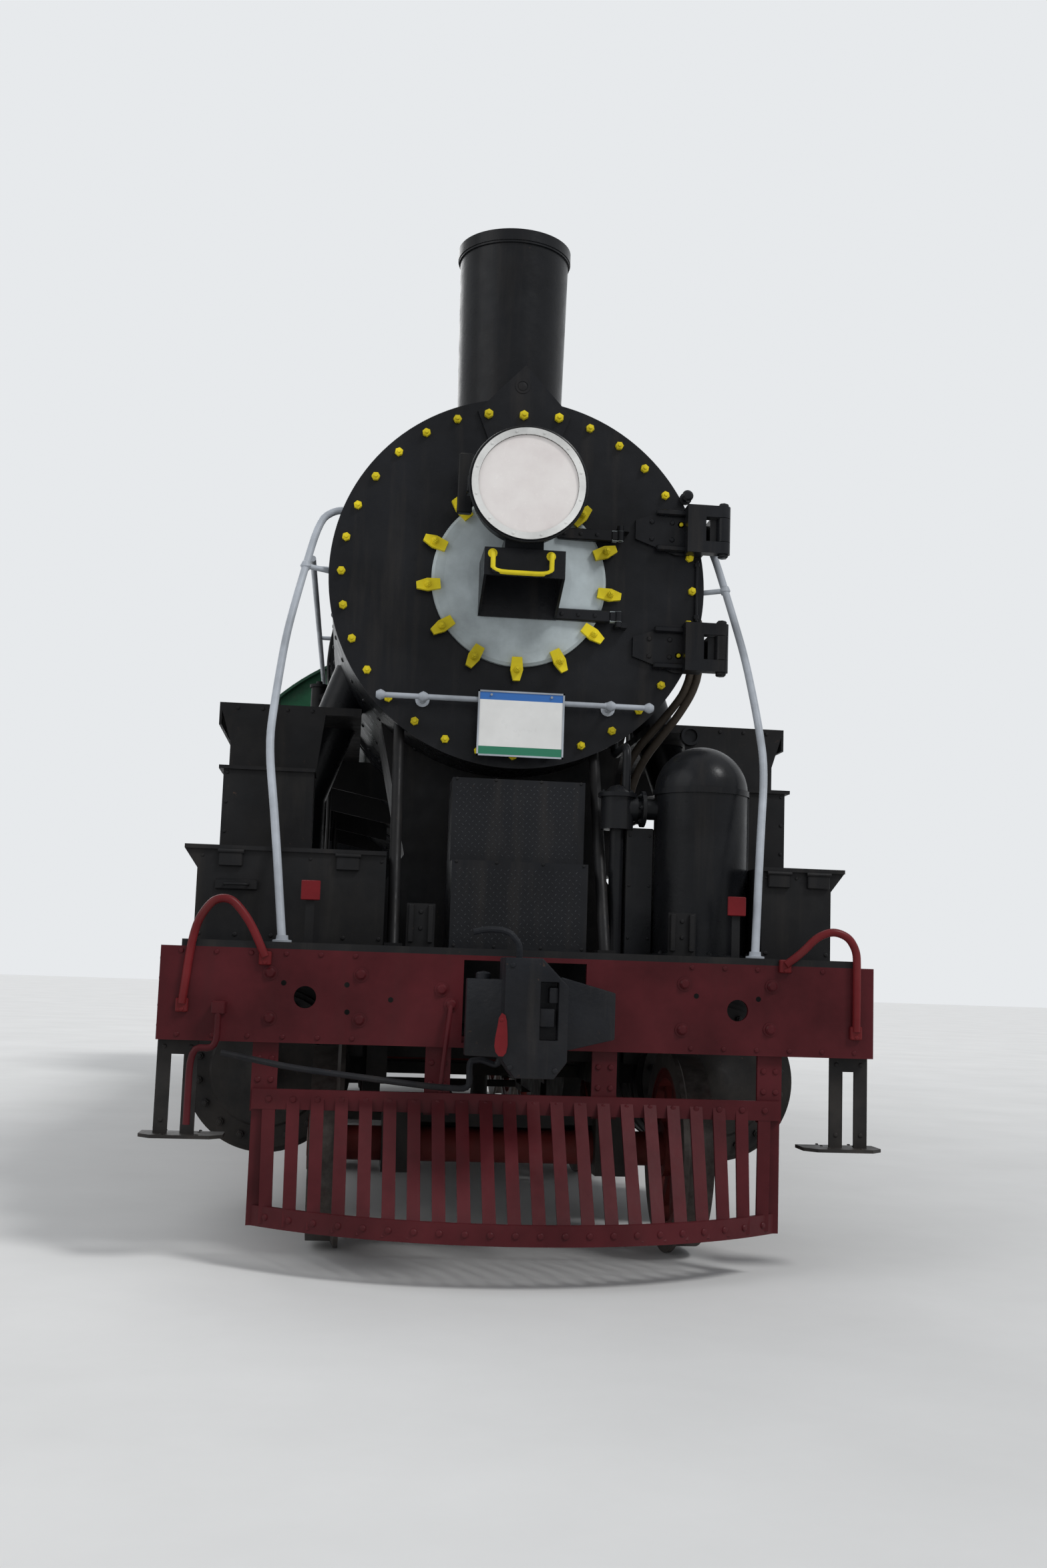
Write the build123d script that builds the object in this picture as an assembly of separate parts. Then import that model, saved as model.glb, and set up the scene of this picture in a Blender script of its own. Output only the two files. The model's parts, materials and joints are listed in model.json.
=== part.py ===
from build123d import *
import math
import os

# Steam locomotive: a ten-coupled freight engine with a leading pony truck, built without its tender.
# Millimetres. +Z up, the engine faces -Y, +X is the right-hand side seen from in front.
# The origin is on the floor under the middle of the overall length, between the wheels.

# Overall stations
FRONT_REACH = 500        # coupler face ahead of the front beam
REAR_REACH = 11900       # front beam to the back edge of the cab roof
BEAM_Y = FRONT_REACH - (FRONT_REACH + REAR_REACH) / 2
FLANGE = 28              # flange depth: the floor is at the flange tips, the rail top is this much higher
RAIL = FLANGE

# Wheels and axles
BACK_TO_BACK = 1440      # distance between the inner faces of the tyres
TYRE_WIDTH = 140
DRIVER_R = 660           # driving wheel tread radius
DRIVER_COUNT = 5
DRIVER_PITCH = 1422.5
FIRST_DRIVER = 3410      # front beam to the first driving axle
MAIN_DRIVER = 3          # the driving axle that takes the main rods
CRANK_R = 355.5          # half of the piston stroke
CRANK_PIN_R = 62
AXLE_R = 100
PONY_R = 420             # pony wheel tread radius
PONY_AXLE = 620          # front beam to the pony axle
PONY_AXLE_R = 75
PONY_PIVOT = 2070        # front beam to the pony truck's pivot
RIGHT_CRANK_DEG = -90    # crank angle seen from the right, 0 points rearward
LEFT_CRANK_DEG = 0       # the left crank is a quarter turn away
RUN_GAP = 1.0            # radial running clearance of pins and journals

# Boiler
BOILER_Z = RAIL + 3053   # boiler centre line
PLATE_R = 907            # smokebox front plate
PLATE_T = 25
PLATE_FRONT = 845        # front beam to the plate's front face
SMOKEBOX_R = 895
SMOKEBOX_T = 16
SMOKEBOX_LEN = 1800
BARREL_R = 915
BARREL_END = 7750        # front beam to the firebox throat
FIREBOX_R = 985
FIREBOX_HALF = 1075      # half width over the foundation ring
FIREBOX_END = 10600
FIREBOX_FOOT_Z = RAIL + 1500
CHIMNEY_Y = 1680         # front beam to the chimney centre
CHIMNEY_TOP_Z = RAIL + 5100
CHIMNEY_R = 285
CHIMNEY_WALL = 14

# Cylinders
CYL_Y = CHIMNEY_Y + 20   # front beam to the middle of the cylinders
CYL_X = 1090
CYL_Z = RAIL + 690
CYL_R = 390
CYL_HALF = 520
VALVE_X = 1020
VALVE_Z = RAIL + 1420
VALVE_R = 215

# Frame, beam and platform
FRAME_X = 520            # inner face of a frame plate
FRAME_T = 100
FRAME_TOP = RAIL + 1150
FRAME_FOOT = RAIL + 400
BEAM_HALF = 1482
BEAM_Z0 = RAIL + 875
BEAM_Z1 = RAIL + 1252
BEAM_DEPTH = 180
BEAM_T = 20
BUFFER_X = 897           # the two large holes in the beam
BUFFER_Z = RAIL + 1060
BUFFER_HOLE_R = 45
DECK_T = 28
DECK_Z = BEAM_Z1 + DECK_T

# Running boards
BOARD_X0 = 720
BOARD_X1 = 1408
BOARD_Z = RAIL + 2450
BOARD_T = 40

# Cab
CAB_HALF = 1530
CAB_WALL = 30
CAB_FRONT = 9300
CAB_REAR = 11650
CAB_FLOOR_Z = RAIL + 1800
CAB_FOOT_Z = RAIL + 1480
ROOF_R = 2290
ROOF_CENTRE_Z = RAIL + 2180
ROOF_T = 25
ROOF_HALF = 1580


def along(station):
    """The row's Y of a distance behind the front beam."""
    return BEAM_Y + station


def block(x0, x1, y0, y1, z0, z1):
    """A box between two opposite corners."""
    size = (abs(x1 - x0), abs(y1 - y0), abs(z1 - z0))
    return Pos((x0 + x1) / 2, (y0 + y1) / 2, (z0 + z1) / 2) * Box(*size)


def bar(start, end, radius):
    """A round bar between two points."""
    start, end = Vector(start), Vector(end)
    plane = Plane(origin=start, z_dir=end - start)
    return extrude(plane * Circle(radius), (end - start).length)


def bent_bar(points, radius, bend):
    """A round bar along a route with bends of one radius."""
    path = FilletPolyline(*points, radius=bend)
    start = path.position_at(0)
    plane = Plane(origin=start, z_dir=path.tangent_at(0))
    return sweep(plane * Circle(radius), path=path)


def side_plate(outline, x0, x1):
    """An outline of (y, z) points, extruded from x0 to x1."""
    face = make_face(Polyline(*[(x0, y, z) for y, z in outline], close=True))
    return extrude(face, amount=abs(x1 - x0), dir=(math.copysign(1, x1 - x0), 0, 0))


def front_sheet(outline, y0, y1):
    """An outline of (x, z) points, extruded from y0 to y1."""
    face = make_face(Polyline(*[(x, y0, z) for x, z in outline], close=True))
    return extrude(face, amount=abs(y1 - y0), dir=(0, math.copysign(1, y1 - y0), 0))


def flat_sheet(outline, z0, z1):
    """An outline of (x, y) points, extruded from z0 to z1."""
    face = make_face(Polyline(*[(x, y, z0) for x, y in outline], close=True))
    return extrude(face, amount=abs(z1 - z0), dir=(0, 0, math.copysign(1, z1 - z0)))


def turned(profile, centre, direction):
    """A profile of (distance along the axis, radius) points, revolved about an axis through a centre."""
    plane = Plane(origin=centre, x_dir=direction, z_dir=Vector(direction).cross(square_to(direction)))
    face = make_face(plane * Polyline(*profile, close=True))
    return revolve(face, axis=Axis(centre, direction))


def square_to(direction):
    """Any direction at right angles to an axis that lies along X, Y or Z."""
    return Vector(0, 0, 1) if abs(Vector(direction).Z) < 0.5 else Vector(0, 1, 0)


def other_side(solid):
    """The same piece on the left-hand side."""
    return mirror(solid, about=Plane.YZ)


def both_sides(solid):
    return Part() + [solid, other_side(solid)]


def save(name, shape):
    export_step(shape, f"parts/{name}.step")


# Wheels. Each is made on an axle through the origin with its crank straight down, then turned and placed.
WHEEL_X = BACK_TO_BACK / 2
TYRE_OUT = WHEEL_X + TYRE_WIDTH
TYRE_T = 70
RIM_T = 55
RIM_X = (WHEEL_X + 8, TYRE_OUT - 8)
SPOKE_COUNT = 15
SPOKE_X = (WHEEL_X + 40, WHEEL_X + 95)
SPOKE_WIDE = 78
SPOKE_NARROW = 52
HUB_R = 165
HUB_X = (WHEEL_X - 15, TYRE_OUT + 50)
CRANK_BOSS_R = 118
ROD_GAP = 10
ROD_T = 70
ROD_X = HUB_X[1] + ROD_GAP
PIN_CAP_T = 12
WEIGHT_X = (WHEEL_X + 35, TYRE_OUT)


def tyre(tread_r, flanged):
    """A steel tyre with its flange on the inner side."""
    inner = tread_r - TYRE_T
    tread = [(WHEEL_X, inner), (WHEEL_X, tread_r), (TYRE_OUT, tread_r), (TYRE_OUT, inner)]
    if flanged:
        tread[1:2] = [(WHEEL_X, tread_r + FLANGE), (WHEEL_X + 20, tread_r + FLANGE), (WHEEL_X + 34, tread_r)]
    return turned([(x, r) for x, r in tread], (0, 0, 0), (1, 0, 0))


def spokes(count, inner_r, outer_r, wide, narrow, x_span):
    """Straight tapered spokes from the hub to the rim."""
    outline = [(-wide / 2, inner_r), (wide / 2, inner_r), (narrow / 2, outer_r), (-narrow / 2, outer_r)]
    spoke = side_plate(outline, *x_span)
    return [Rot(X=i * 360 / count) * spoke for i in range(count)]


def counterweight(rim_r, chord, x_span):
    """The crescent opposite the crank, between a chord and the rim."""
    half = math.sqrt(rim_r ** 2 - chord ** 2)
    arc = ThreePointArc((x_span[0], -half, chord), (x_span[0], 0, rim_r), (x_span[0], half, chord))
    face = make_face([arc, Line((x_span[0], half, chord), (x_span[0], -half, chord))])
    return extrude(face, amount=x_span[1] - x_span[0], dir=(1, 0, 0))


def driving_wheel(main):
    """One spoked driving wheel on the right, its crank straight down."""
    rim_out = DRIVER_R - TYRE_T
    rim_in = rim_out - RIM_T
    wheel = tyre(DRIVER_R, flanged=not main)
    wheel += turned([(RIM_X[0], rim_in), (RIM_X[0], rim_out), (RIM_X[1], rim_out), (RIM_X[1], rim_in)],
                    (0, 0, 0), (1, 0, 0))
    wheel += spokes(SPOKE_COUNT, HUB_R - 20, rim_in + 10, SPOKE_WIDE, SPOKE_NARROW, SPOKE_X)
    wheel += bar((HUB_X[0], 0, 0), (HUB_X[1], 0, 0), HUB_R)
    wheel += bar((SPOKE_X[0], 0, -CRANK_R), (HUB_X[1], 0, -CRANK_R), CRANK_BOSS_R)
    web = [(-HUB_R * 0.8, 0), (HUB_R * 0.8, 0), (CRANK_BOSS_R * 0.85, -CRANK_R), (-CRANK_BOSS_R * 0.85, -CRANK_R)]
    wheel += side_plate(web, SPOKE_X[0], HUB_X[1])
    wheel += counterweight(rim_in + 5, rim_in * (0.42 if main else 0.6), WEIGHT_X)
    pin_end = ROD_X + ROD_T + (0 if main else PIN_CAP_T)
    wheel += bar((HUB_X[1] - 20, 0, -CRANK_R), (pin_end, 0, -CRANK_R), CRANK_PIN_R)
    if not main:
        wheel += bar((ROD_X + ROD_T + 2, 0, -CRANK_R), (pin_end, 0, -CRANK_R), CRANK_PIN_R + 18)
    return wheel


def crank_turn(degrees):
    """The turn about +X that takes a crank pointing down to a crank angle seen from the right."""
    return Rot(X=degrees + 90)


def driver_station(number):
    return along(FIRST_DRIVER + (number - 1) * DRIVER_PITCH)


def driving_wheelset(number):
    """Two quartered wheels on their axle."""
    main = number == MAIN_DRIVER
    wheel = driving_wheel(main)
    pair = crank_turn(RIGHT_CRANK_DEG) * wheel
    pair += crank_turn(LEFT_CRANK_DEG) * other_side(wheel)
    pair += bar((-HUB_X[0] - 5, 0, 0), (HUB_X[0] + 5, 0, 0), AXLE_R)
    return Pos(0, driver_station(number), RAIL + DRIVER_R) * pair


def pony_wheelset():
    """The two small wheels and their axle."""
    rim_out = PONY_R - 60
    rim_in = rim_out - 45
    hub_r = 120
    wheel = tyre(PONY_R, flanged=True)
    wheel += turned([(RIM_X[0], rim_in), (RIM_X[0], rim_out), (RIM_X[1], rim_out), (RIM_X[1], rim_in)],
                    (0, 0, 0), (1, 0, 0))
    wheel += spokes(10, hub_r - 15, rim_in + 8, 66, 46, SPOKE_X)
    wheel += bar((WHEEL_X - 10, 0, 0), (TYRE_OUT + 10, 0, 0), hub_r)
    pair = both_sides(wheel)
    pair += bar((-WHEEL_X, 0, 0), (WHEEL_X, 0, 0), PONY_AXLE_R)
    return Pos(0, along(PONY_AXLE), RAIL + PONY_R) * pair


def coupling_rod(crank_deg, x0):
    """One side's five-pin side rod: eyes round the crank pins, joined by fluted bars."""
    pin_y = CRANK_R * math.cos(math.radians(crank_deg))
    pin_z = RAIL + DRIVER_R + CRANK_R * math.sin(math.radians(crank_deg))
    eye_r = 105
    stations = [driver_station(n) + pin_y for n in range(1, DRIVER_COUNT + 1)]
    rod = block(x0, x0 + ROD_T, stations[0], stations[-1], pin_z - 58, pin_z + 58)
    for front, back in zip(stations, stations[1:]):
        flute = block(x0 + ROD_T - 14, x0 + ROD_T, front + 170, back - 170, pin_z - 34, pin_z + 34)
        rod -= flute
    for y in stations:
        rod += bar((x0, y, pin_z), (x0 + ROD_T, y, pin_z), eye_r)
    for y in stations:
        rod -= bar((x0 - 1, y, pin_z), (x0 + ROD_T + 1, y, pin_z), CRANK_PIN_R + RUN_GAP)
    return rod


def main_frame():
    """Two frame plates with an axlebox slot at each driving axle, and the stretchers between them."""
    front, back = along(BEAM_DEPTH), along(CAB_REAR - 150)
    slot_half, slot_top = 140, RAIL + DRIVER_R + 190
    nose = along(1250)
    outline = [(nose, RAIL + 640), (along(2450), RAIL + 640), (along(2600), FRAME_FOOT)]
    for n in range(1, DRIVER_COUNT + 1):
        y = driver_station(n)
        outline += [(y - slot_half, FRAME_FOOT), (y - slot_half, slot_top),
                    (y + slot_half, slot_top), (y + slot_half, FRAME_FOOT)]
    outline += [(along(9900), FRAME_FOOT), (along(10100), RAIL + 850), (back, RAIL + 850), (back, FRAME_TOP),
                (along(2300), FRAME_TOP), (along(2250), BEAM_Z1), (nose, BEAM_Z1)]
    plate = side_plate(outline, FRAME_X, FRAME_X + FRAME_T)
    for n in range(1, DRIVER_COUNT):
        middle = driver_station(n) + DRIVER_PITCH / 2
        hole = SlotOverall(560, 230)
        window = extrude(Plane.YZ.offset(FRAME_X - 1) * Pos(middle, RAIL + 700) * hole, FRAME_T + 2)
        plate -= window
    frame = both_sides(plate)
    stretchers = [(2520, 60), (4060, 60), (5500, 60), (6920, 60), (8350, 60), (10000, 60)]   # station, thickness
    for station, thickness in stretchers:
        frame += block(-FRAME_X, FRAME_X, along(station), along(station + thickness), RAIL + 900, RAIL + 1120)
    for n in range(1, DRIVER_COUNT + 1):
        y = driver_station(n)
        binder = block(FRAME_X, FRAME_X + FRAME_T, y - slot_half - 60, y + slot_half + 60,
                       FRAME_FOOT - 45, FRAME_FOOT)
        frame += both_sides(binder)
    frame += block(-FRAME_X, FRAME_X, along(PONY_PIVOT - 130), along(PONY_PIVOT + 130), RAIL + 640, RAIL + 700)
    frame += bar((0, along(PONY_PIVOT), RAIL + 380), (0, along(PONY_PIVOT), RAIL + 640), 45)
    frame += both_sides(block(FRAME_X, FRAME_X + FRAME_T, front, nose - 0.3, RAIL + 905, BEAM_Z1))
    return frame


def axleboxes():
    """Ten axleboxes in the frame slots, with the leaf springs over them."""
    boxes = []
    for n in range(1, DRIVER_COUNT + 1):
        y = driver_station(n)
        z = RAIL + DRIVER_R
        box = block(FRAME_X - 15, FRAME_X + FRAME_T + 15, y - 140, y + 140, z - 150, z + 185)
        box -= bar((FRAME_X - 20, y, z), (FRAME_X + FRAME_T + 20, y, z), AXLE_R + RUN_GAP)
        boxes += [box, other_side(box)]
    return Part() + boxes


def leaf_springs():
    """A stepped leaf spring on the frame over each driving axle, with its buckle."""
    springs = []
    leaf, half = 16, 430
    for n in range(1, DRIVER_COUNT + 1):
        y = driver_station(n)
        base = FRAME_TOP + 40
        outline = []
        for step in range(6):
            reach = half - (5 - step) * 62
            outline += [(y + reach, base + step * leaf), (y + reach, base + (step + 1) * leaf)]
        outline += [(2 * y - py, pz) for py, pz in reversed(outline)]
        spring = side_plate(outline, FRAME_X + 10, FRAME_X + 90)
        spring += block(FRAME_X, FRAME_X + FRAME_T, y - 50, y + 50, FRAME_TOP, base + 6 * leaf + 18)
        for side in (-1, 1):
            end = y + side * (half - 25)
            spring += block(FRAME_X + 35, FRAME_X + 65, end - 14, end + 14, FRAME_TOP, base + 6 * leaf + 14)
        springs += [spring, other_side(spring)]
    return Part() + springs


def front_beam():
    """The channel-shaped front beam with its coupler pocket and two round holes."""
    beam = block(-BEAM_HALF, BEAM_HALF, along(0), along(BEAM_T), BEAM_Z0, BEAM_Z1)
    beam += block(-BEAM_HALF, BEAM_HALF, along(0), along(BEAM_DEPTH), BEAM_Z0, BEAM_Z0 + BEAM_T)
    beam += block(-BEAM_HALF, BEAM_HALF, along(0), along(BEAM_DEPTH), BEAM_Z1 - BEAM_T, BEAM_Z1)
    beam += both_sides(block(BEAM_HALF - BEAM_T, BEAM_HALF, along(0), along(BEAM_DEPTH), BEAM_Z0, BEAM_Z1))
    for x in (-BUFFER_X, BUFFER_X):
        beam -= bar((x, along(-5), BUFFER_Z), (x, along(BEAM_T + 5), BUFFER_Z), BUFFER_HOLE_R)
    beam -= block(-POCKET_HALF, POCKET_HALF, along(-5), along(BEAM_T + 1), POCKET_Z0, POCKET_Z1)
    beam += block(-POCKET_HALF, POCKET_HALF, along(BEAM_T + 5), along(BEAM_DEPTH), BEAM_Z0, YOKE_Z0 - SEAT_GAP)
    return beam


POCKET_HALF = 255
POCKET_Z0 = RAIL + 895
POCKET_Z1 = RAIL + 1232
COUPLER_Z = RAIL + 1045
YOKE_Z0 = COUPLER_Z - 125
SEAT_GAP = 0.3


def coupler():
    """The automatic coupler: a shank through the pocket, a tall knuckle, a guard arm and the lock side."""
    face = along(-FRONT_REACH)
    shank = block(-75, 75, along(-260), along(BEAM_DEPTH + 420), COUPLER_Z - 90, COUPLER_Z + 90)
    head = [(-140, face + 10), (-60, face), (20, face + 60), (60, face + 170), (150, face + 190),
            (230, face + 120), (320, face + 60), (335, face + 100), (270, face + 250), (160, face + 330),
            (95, face + 400), (-95, face + 400), (-235, face + 330), (-262, face + 250), (-235, face + 190),
            (-150, face + 170)]
    body = flat_sheet(head, COUPLER_Z - 150, COUPLER_Z + 150)
    knuckle = [(-140, face + 10), (-60, face), (30, face + 70), (75, face + 180), (100, face + 300),
               (-125, face + 300), (-150, face + 170)]
    body += flat_sheet(knuckle, COUPLER_Z - 225, COUPLER_Z + 225)
    body += shank
    yoke = block(-230, 230, along(BEAM_T), along(BEAM_DEPTH + 420), YOKE_Z0, COUPLER_Z - 90)
    return body + yoke


PILOT_HALF = 1090
PILOT_TOP_Z = RAIL + 690
PILOT_BAR_H = 80
PILOT_FOOT_Z = RAIL + 150
PILOT_BOW = 430          # how far the foot bar's middle stands ahead of its ends
PILOT_SLATS = 22
PILOT_BAR_T = 24
PILOT_Y = along(30)
PILOT_POST_X = (345, 1045)
PILOT_POST_HALF = 52


def pilot():
    """The pilot: four hanger posts, a straight top bar, a bowed foot bar and raked slats between them."""
    top = block(-PILOT_HALF, PILOT_HALF, PILOT_Y - PILOT_BAR_T, PILOT_Y, PILOT_TOP_Z - PILOT_BAR_H, PILOT_TOP_Z)
    foot_ends = PILOT_Y + 20
    bow_r = (PILOT_HALF ** 2 + PILOT_BOW ** 2) / (2 * PILOT_BOW)
    centre = (0, foot_ends - PILOT_BOW + bow_r)
    sweep_half = math.degrees(math.asin(PILOT_HALF / bow_r))
    outer = CenterArc(centre, bow_r, 270 - sweep_half, 2 * sweep_half)
    inner = CenterArc(centre, bow_r - PILOT_BAR_T, 270 - sweep_half, 2 * sweep_half)
    face = make_face([outer, inner, Line(outer @ 0, inner @ 0), Line(outer @ 1, inner @ 1)])
    foot = extrude(Pos(0, 0, PILOT_FOOT_Z) * face, PILOT_BAR_H)
    guard = top + foot
    for i in range(PILOT_SLATS):
        share = -1 + 2 * (i + 0.5) / PILOT_SLATS
        x_top = share * (PILOT_HALF - 20)
        x_foot = share * (PILOT_HALF - 30)
        y_foot = centre[1] - math.sqrt((bow_r - PILOT_BAR_T / 2) ** 2 - x_foot ** 2)
        half, depth = 26, 16
        upper = Plane(origin=(x_top, PILOT_Y - PILOT_BAR_T / 2, PILOT_TOP_Z - 20)) * Rectangle(2 * half, depth)
        lower = Plane(origin=(x_foot, y_foot, PILOT_FOOT_Z + 15)) * Rectangle(2 * half, depth)
        guard += loft([lower, upper])
    for x in PILOT_POST_X:
        post = block(x - PILOT_POST_HALF, x + PILOT_POST_HALF, PILOT_Y, PILOT_Y + 20, PILOT_TOP_Z - 90, BEAM_Z0)
        guard += both_sides(post)
    end_post = block(PILOT_HALF - 75, PILOT_HALF, PILOT_Y, PILOT_Y + 20, PILOT_FOOT_Z, PILOT_TOP_Z)
    guard += both_sides(end_post)
    return guard


def front_deck():
    """The platform plate behind the beam."""
    plate = block(-1400, 1400, along(0), along(1180), BEAM_Z1, DECK_Z)
    return plate


STEP_X = (-290, 325)
STEP_RISERS = ((500, DECK_Z, RAIL + 1680), (660, RAIL + 1680, RAIL + 2070))   # station, bottom, top


def front_steps():
    """The two-tier flight of patterned plate between the deck and the smokebox."""
    sheet = 8
    outline = []
    for station, bottom, top in STEP_RISERS:
        outline += [(along(station), bottom), (along(station), top)]
    outline += [(along(900), outline[-1][1]), (along(900), outline[-1][1] - sheet)]
    for station, bottom, top in reversed(STEP_RISERS):
        outline += [(along(station) + sheet, top - sheet), (along(station) + sheet, bottom - sheet)]
    outline[-1] = (outline[-1][0], DECK_Z)
    flight = side_plate(outline, *STEP_X)
    cheek = [(along(500), DECK_Z), (along(500), RAIL + 1680), (along(660), RAIL + 1680),
             (along(660), RAIL + 2070), (along(900), RAIL + 2070), (along(900), DECK_Z)]
    flight += side_plate(cheek, STEP_X[0], STEP_X[0] + sheet)
    flight += side_plate(cheek, STEP_X[1] - sheet, STEP_X[1])
    return flight


STIRRUP_X = (1345, 1452)
STIRRUP_TREAD_Z = RAIL + 500


def foot_stirrups():
    """A two-legged stirrup step under each end of the beam."""
    y0, y1 = along(70), along(84)
    stirrup = Part()
    for x in STIRRUP_X:
        stirrup += block(x - 28, x + 28, y0, y1, STIRRUP_TREAD_Z, BEAM_Z0)
    stirrup += block(STIRRUP_X[0] - 28, STIRRUP_X[1] + 28, y0, y1, BEAM_Z0 - 60, BEAM_Z0)
    tread = [(1200, y0 - 20), (1250, y0 - 70), (1485, y0 - 70), (1535, y0 - 20), (1535, y1 + 90), (1200, y1 + 90)]
    stirrup += flat_sheet(tread, STIRRUP_TREAD_Z - 14, STIRRUP_TREAD_Z)
    return both_sides(stirrup)


def hoop_handrails():
    """A bent tube handrail standing on each end of the beam."""
    tube = 17
    y = along(-tube)
    route = [(1385, y, RAIL + 1010), (1385, y, RAIL + 1330), (1290, y + 15, RAIL + 1425),
             (1180, y + 45, RAIL + 1380), (1040, y + 100, DECK_Z + 20)]
    rail = bent_bar(route, tube, 60)
    rail += block(940, 1070, y + 70, y + 130, DECK_Z, DECK_Z + 24)
    rail -= block(900, 1200, y, y + 200, BEAM_Z1, DECK_Z)
    rail += block(1360, 1410, y - 4, along(0), RAIL + 990, RAIL + 1050)
    return both_sides(rail)


def pipe_handrails():
    """A long grey handrail from the deck up to each side of the smokebox."""
    tube = 11
    route = [(1012, along(150), DECK_Z + 12), (1085, along(470), RAIL + 2100), (1065, along(760), RAIL + 2800),
             (965, along(968), RAIL + 3330), (890, along(990), RAIL + 3390)]
    rail = bent_bar(route, tube, 60)
    rail += bar((890, along(990), RAIL + 3390), (SMOKEBOX_R - 80, along(990), RAIL + 3390), tube)
    rail += bar((1014, along(864), RAIL + 3060), (SMOKEBOX_R - 20, along(905), RAIL + 3060), tube)
    rail += Pos(1012, along(150), DECK_Z + 8) * Cylinder(32, 16)
    return both_sides(rail - BOILER)


def uncoupling_lever():
    """The hand lever at the left end of the beam and its bent rod to the coupler."""
    radius = 14
    y = along(-75)
    handle = bent_bar([(-1335, y, RAIL + 550), (-1335, y, RAIL + 850), (-1235, y, RAIL + 850),
                       (-1235, y, RAIL + 1020)], radius, 35)
    rod = bent_bar([(-1235, y, RAIL + 845), (-390, y, RAIL + 722), (-255, y, RAIL + 722),
                    (-238, y, RAIL + 868), (-215, y - 55, RAIL + 876)], 10, 22)
    lever = handle + rod
    lever += block(-1262, -1208, y - 14, along(0), RAIL + 985, RAIL + 1035)
    lever += block(-420, -395, y - 12, along(0), RAIL + 700, RAIL + 900)
    return lever


BOX_FRONT = 345


def tool_boxes():
    """The two low boxes on the deck with overhanging lids."""
    boxes = Part()
    for x0, x1, lid in ((-1390, -585, -1447), (1085, 1400, 1461)):
        front = along(BOX_FRONT)
        boxes += block(x0, x1, front, along(950), DECK_Z, RAIL + 1672)
        boxes += block(min(x0, lid), max(x1, lid), front - 15, along(950), RAIL + 1672, RAIL + 1690)
        outer = min(x0, x1, key=lambda x: abs(x - lid))
        gusset = [(outer, RAIL + 1672), (lid, RAIL + 1672), (outer, RAIL + 1590)]
        boxes += front_sheet(gusset, front, front + 12)
    return boxes


def board_steps():
    """The middle step box between each low box and the high running board."""
    box = block(930, 1353, along(950), along(1180), RAIL + 1690, RAIL + 2095)
    box += block(925, 1375, along(935), along(1180), RAIL + 2095, RAIL + 2112)
    box += block(930, 1353, along(950), along(1180), DECK_Z, RAIL + 1690)
    left = other_side(box)
    return box + left


def running_board():
    """The right-hand high running board with its front plate, edge angle and brackets to the boiler."""
    front, back = along(1180), along(CAB_FRONT)
    board = block(BOARD_X0, BOARD_X1, front, back, BOARD_Z - BOARD_T, BOARD_Z)
    face = [(BOARD_X0 + 170, BOARD_Z), (BOARD_X1, BOARD_Z), (BOARD_X1 - 60, BOARD_Z - 195),
            (BOARD_X1 - 60, RAIL + 2112), (BOARD_X0 + 210, RAIL + 2112)]
    board += front_sheet(face, front, front + 12)
    board += block(BOARD_X1 - 12, BOARD_X1, front, back, BOARD_Z - 110, BOARD_Z)
    for station in (2900, 4300, 5700, 7100):
        root = BOARD_X0 - 240
        bracket = [(BOARD_X1 - 20, BOARD_Z - BOARD_T), (root, BOARD_Z - BOARD_T), (root, BOARD_Z - 280),
                   (BOARD_X1 - 20, BOARD_Z - 100)]
        board += front_sheet(bracket, along(station), along(station + 16))
    return board - BOILER - steam_pipe_run(STEAM_PIPE_R + 8)


def smokebox():
    """The smokebox shell, open at the front, with its chimney hole and the plate's hinge lugs."""
    front = along(PLATE_FRONT + PLATE_T + 2)
    back = along(PLATE_FRONT + PLATE_T + 2 + SMOKEBOX_LEN)
    shell = bar((0, front, BOILER_Z), (0, back, BOILER_Z), SMOKEBOX_R)
    shell -= bar((0, front - 1, BOILER_Z), (0, back + 1, BOILER_Z), SMOKEBOX_R - SMOKEBOX_T)
    ring = bar((0, front, BOILER_Z), (0, front + 40, BOILER_Z), SMOKEBOX_R)
    ring -= bar((0, front - 1, BOILER_Z), (0, front + 41, BOILER_Z), SMOKEBOX_R - 75)
    shell += ring
    flue = bar((0, along(CHIMNEY_Y), BOILER_Z), (0, along(CHIMNEY_Y), BOILER_Z + 1200), CHIMNEY_R - CHIMNEY_WALL)
    shell -= flue
    for low, high in HINGE_SPANS:
        arm = block(PLATE_R + 8, HINGE_X + 20, along(HINGE_Y), front + 60, low + 60, high - 60)
        arm += block(SMOKEBOX_R - 110, HINGE_X + 20, front + 10, front + 60, low + 60, high - 60)
        arm -= bar((0, front - 1, BOILER_Z), (0, back, BOILER_Z), SMOKEBOX_R - 5)
        arm += Pos(HINGE_X, along(HINGE_Y), (low + high) / 2) * Cylinder(HINGE_R, high - low - 120)
        arm -= Pos(HINGE_X, along(HINGE_Y), (low + high) / 2) * Cylinder(HINGE_PIN_R + RUN_GAP, high - low)
        shell += arm
    return shell


HINGE_X = 980
HINGE_Y = 770
HINGE_R = 34
HINGE_PIN_R = 14
HINGE_SPANS = ((RAIL + 2645, RAIL + 2880), (RAIL + 3225, RAIL + 3460))   # bottom and top of each big hinge


INNER_DOOR_R = 420
INNER_HOLE_R = 380
INNER_HINGE_X = 478
INNER_HINGE_Y = PLATE_FRONT - 62
INNER_HINGE_SPANS = ((RAIL + 2868, RAIL + 2916), (RAIL + 3265, RAIL + 3313))


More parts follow.
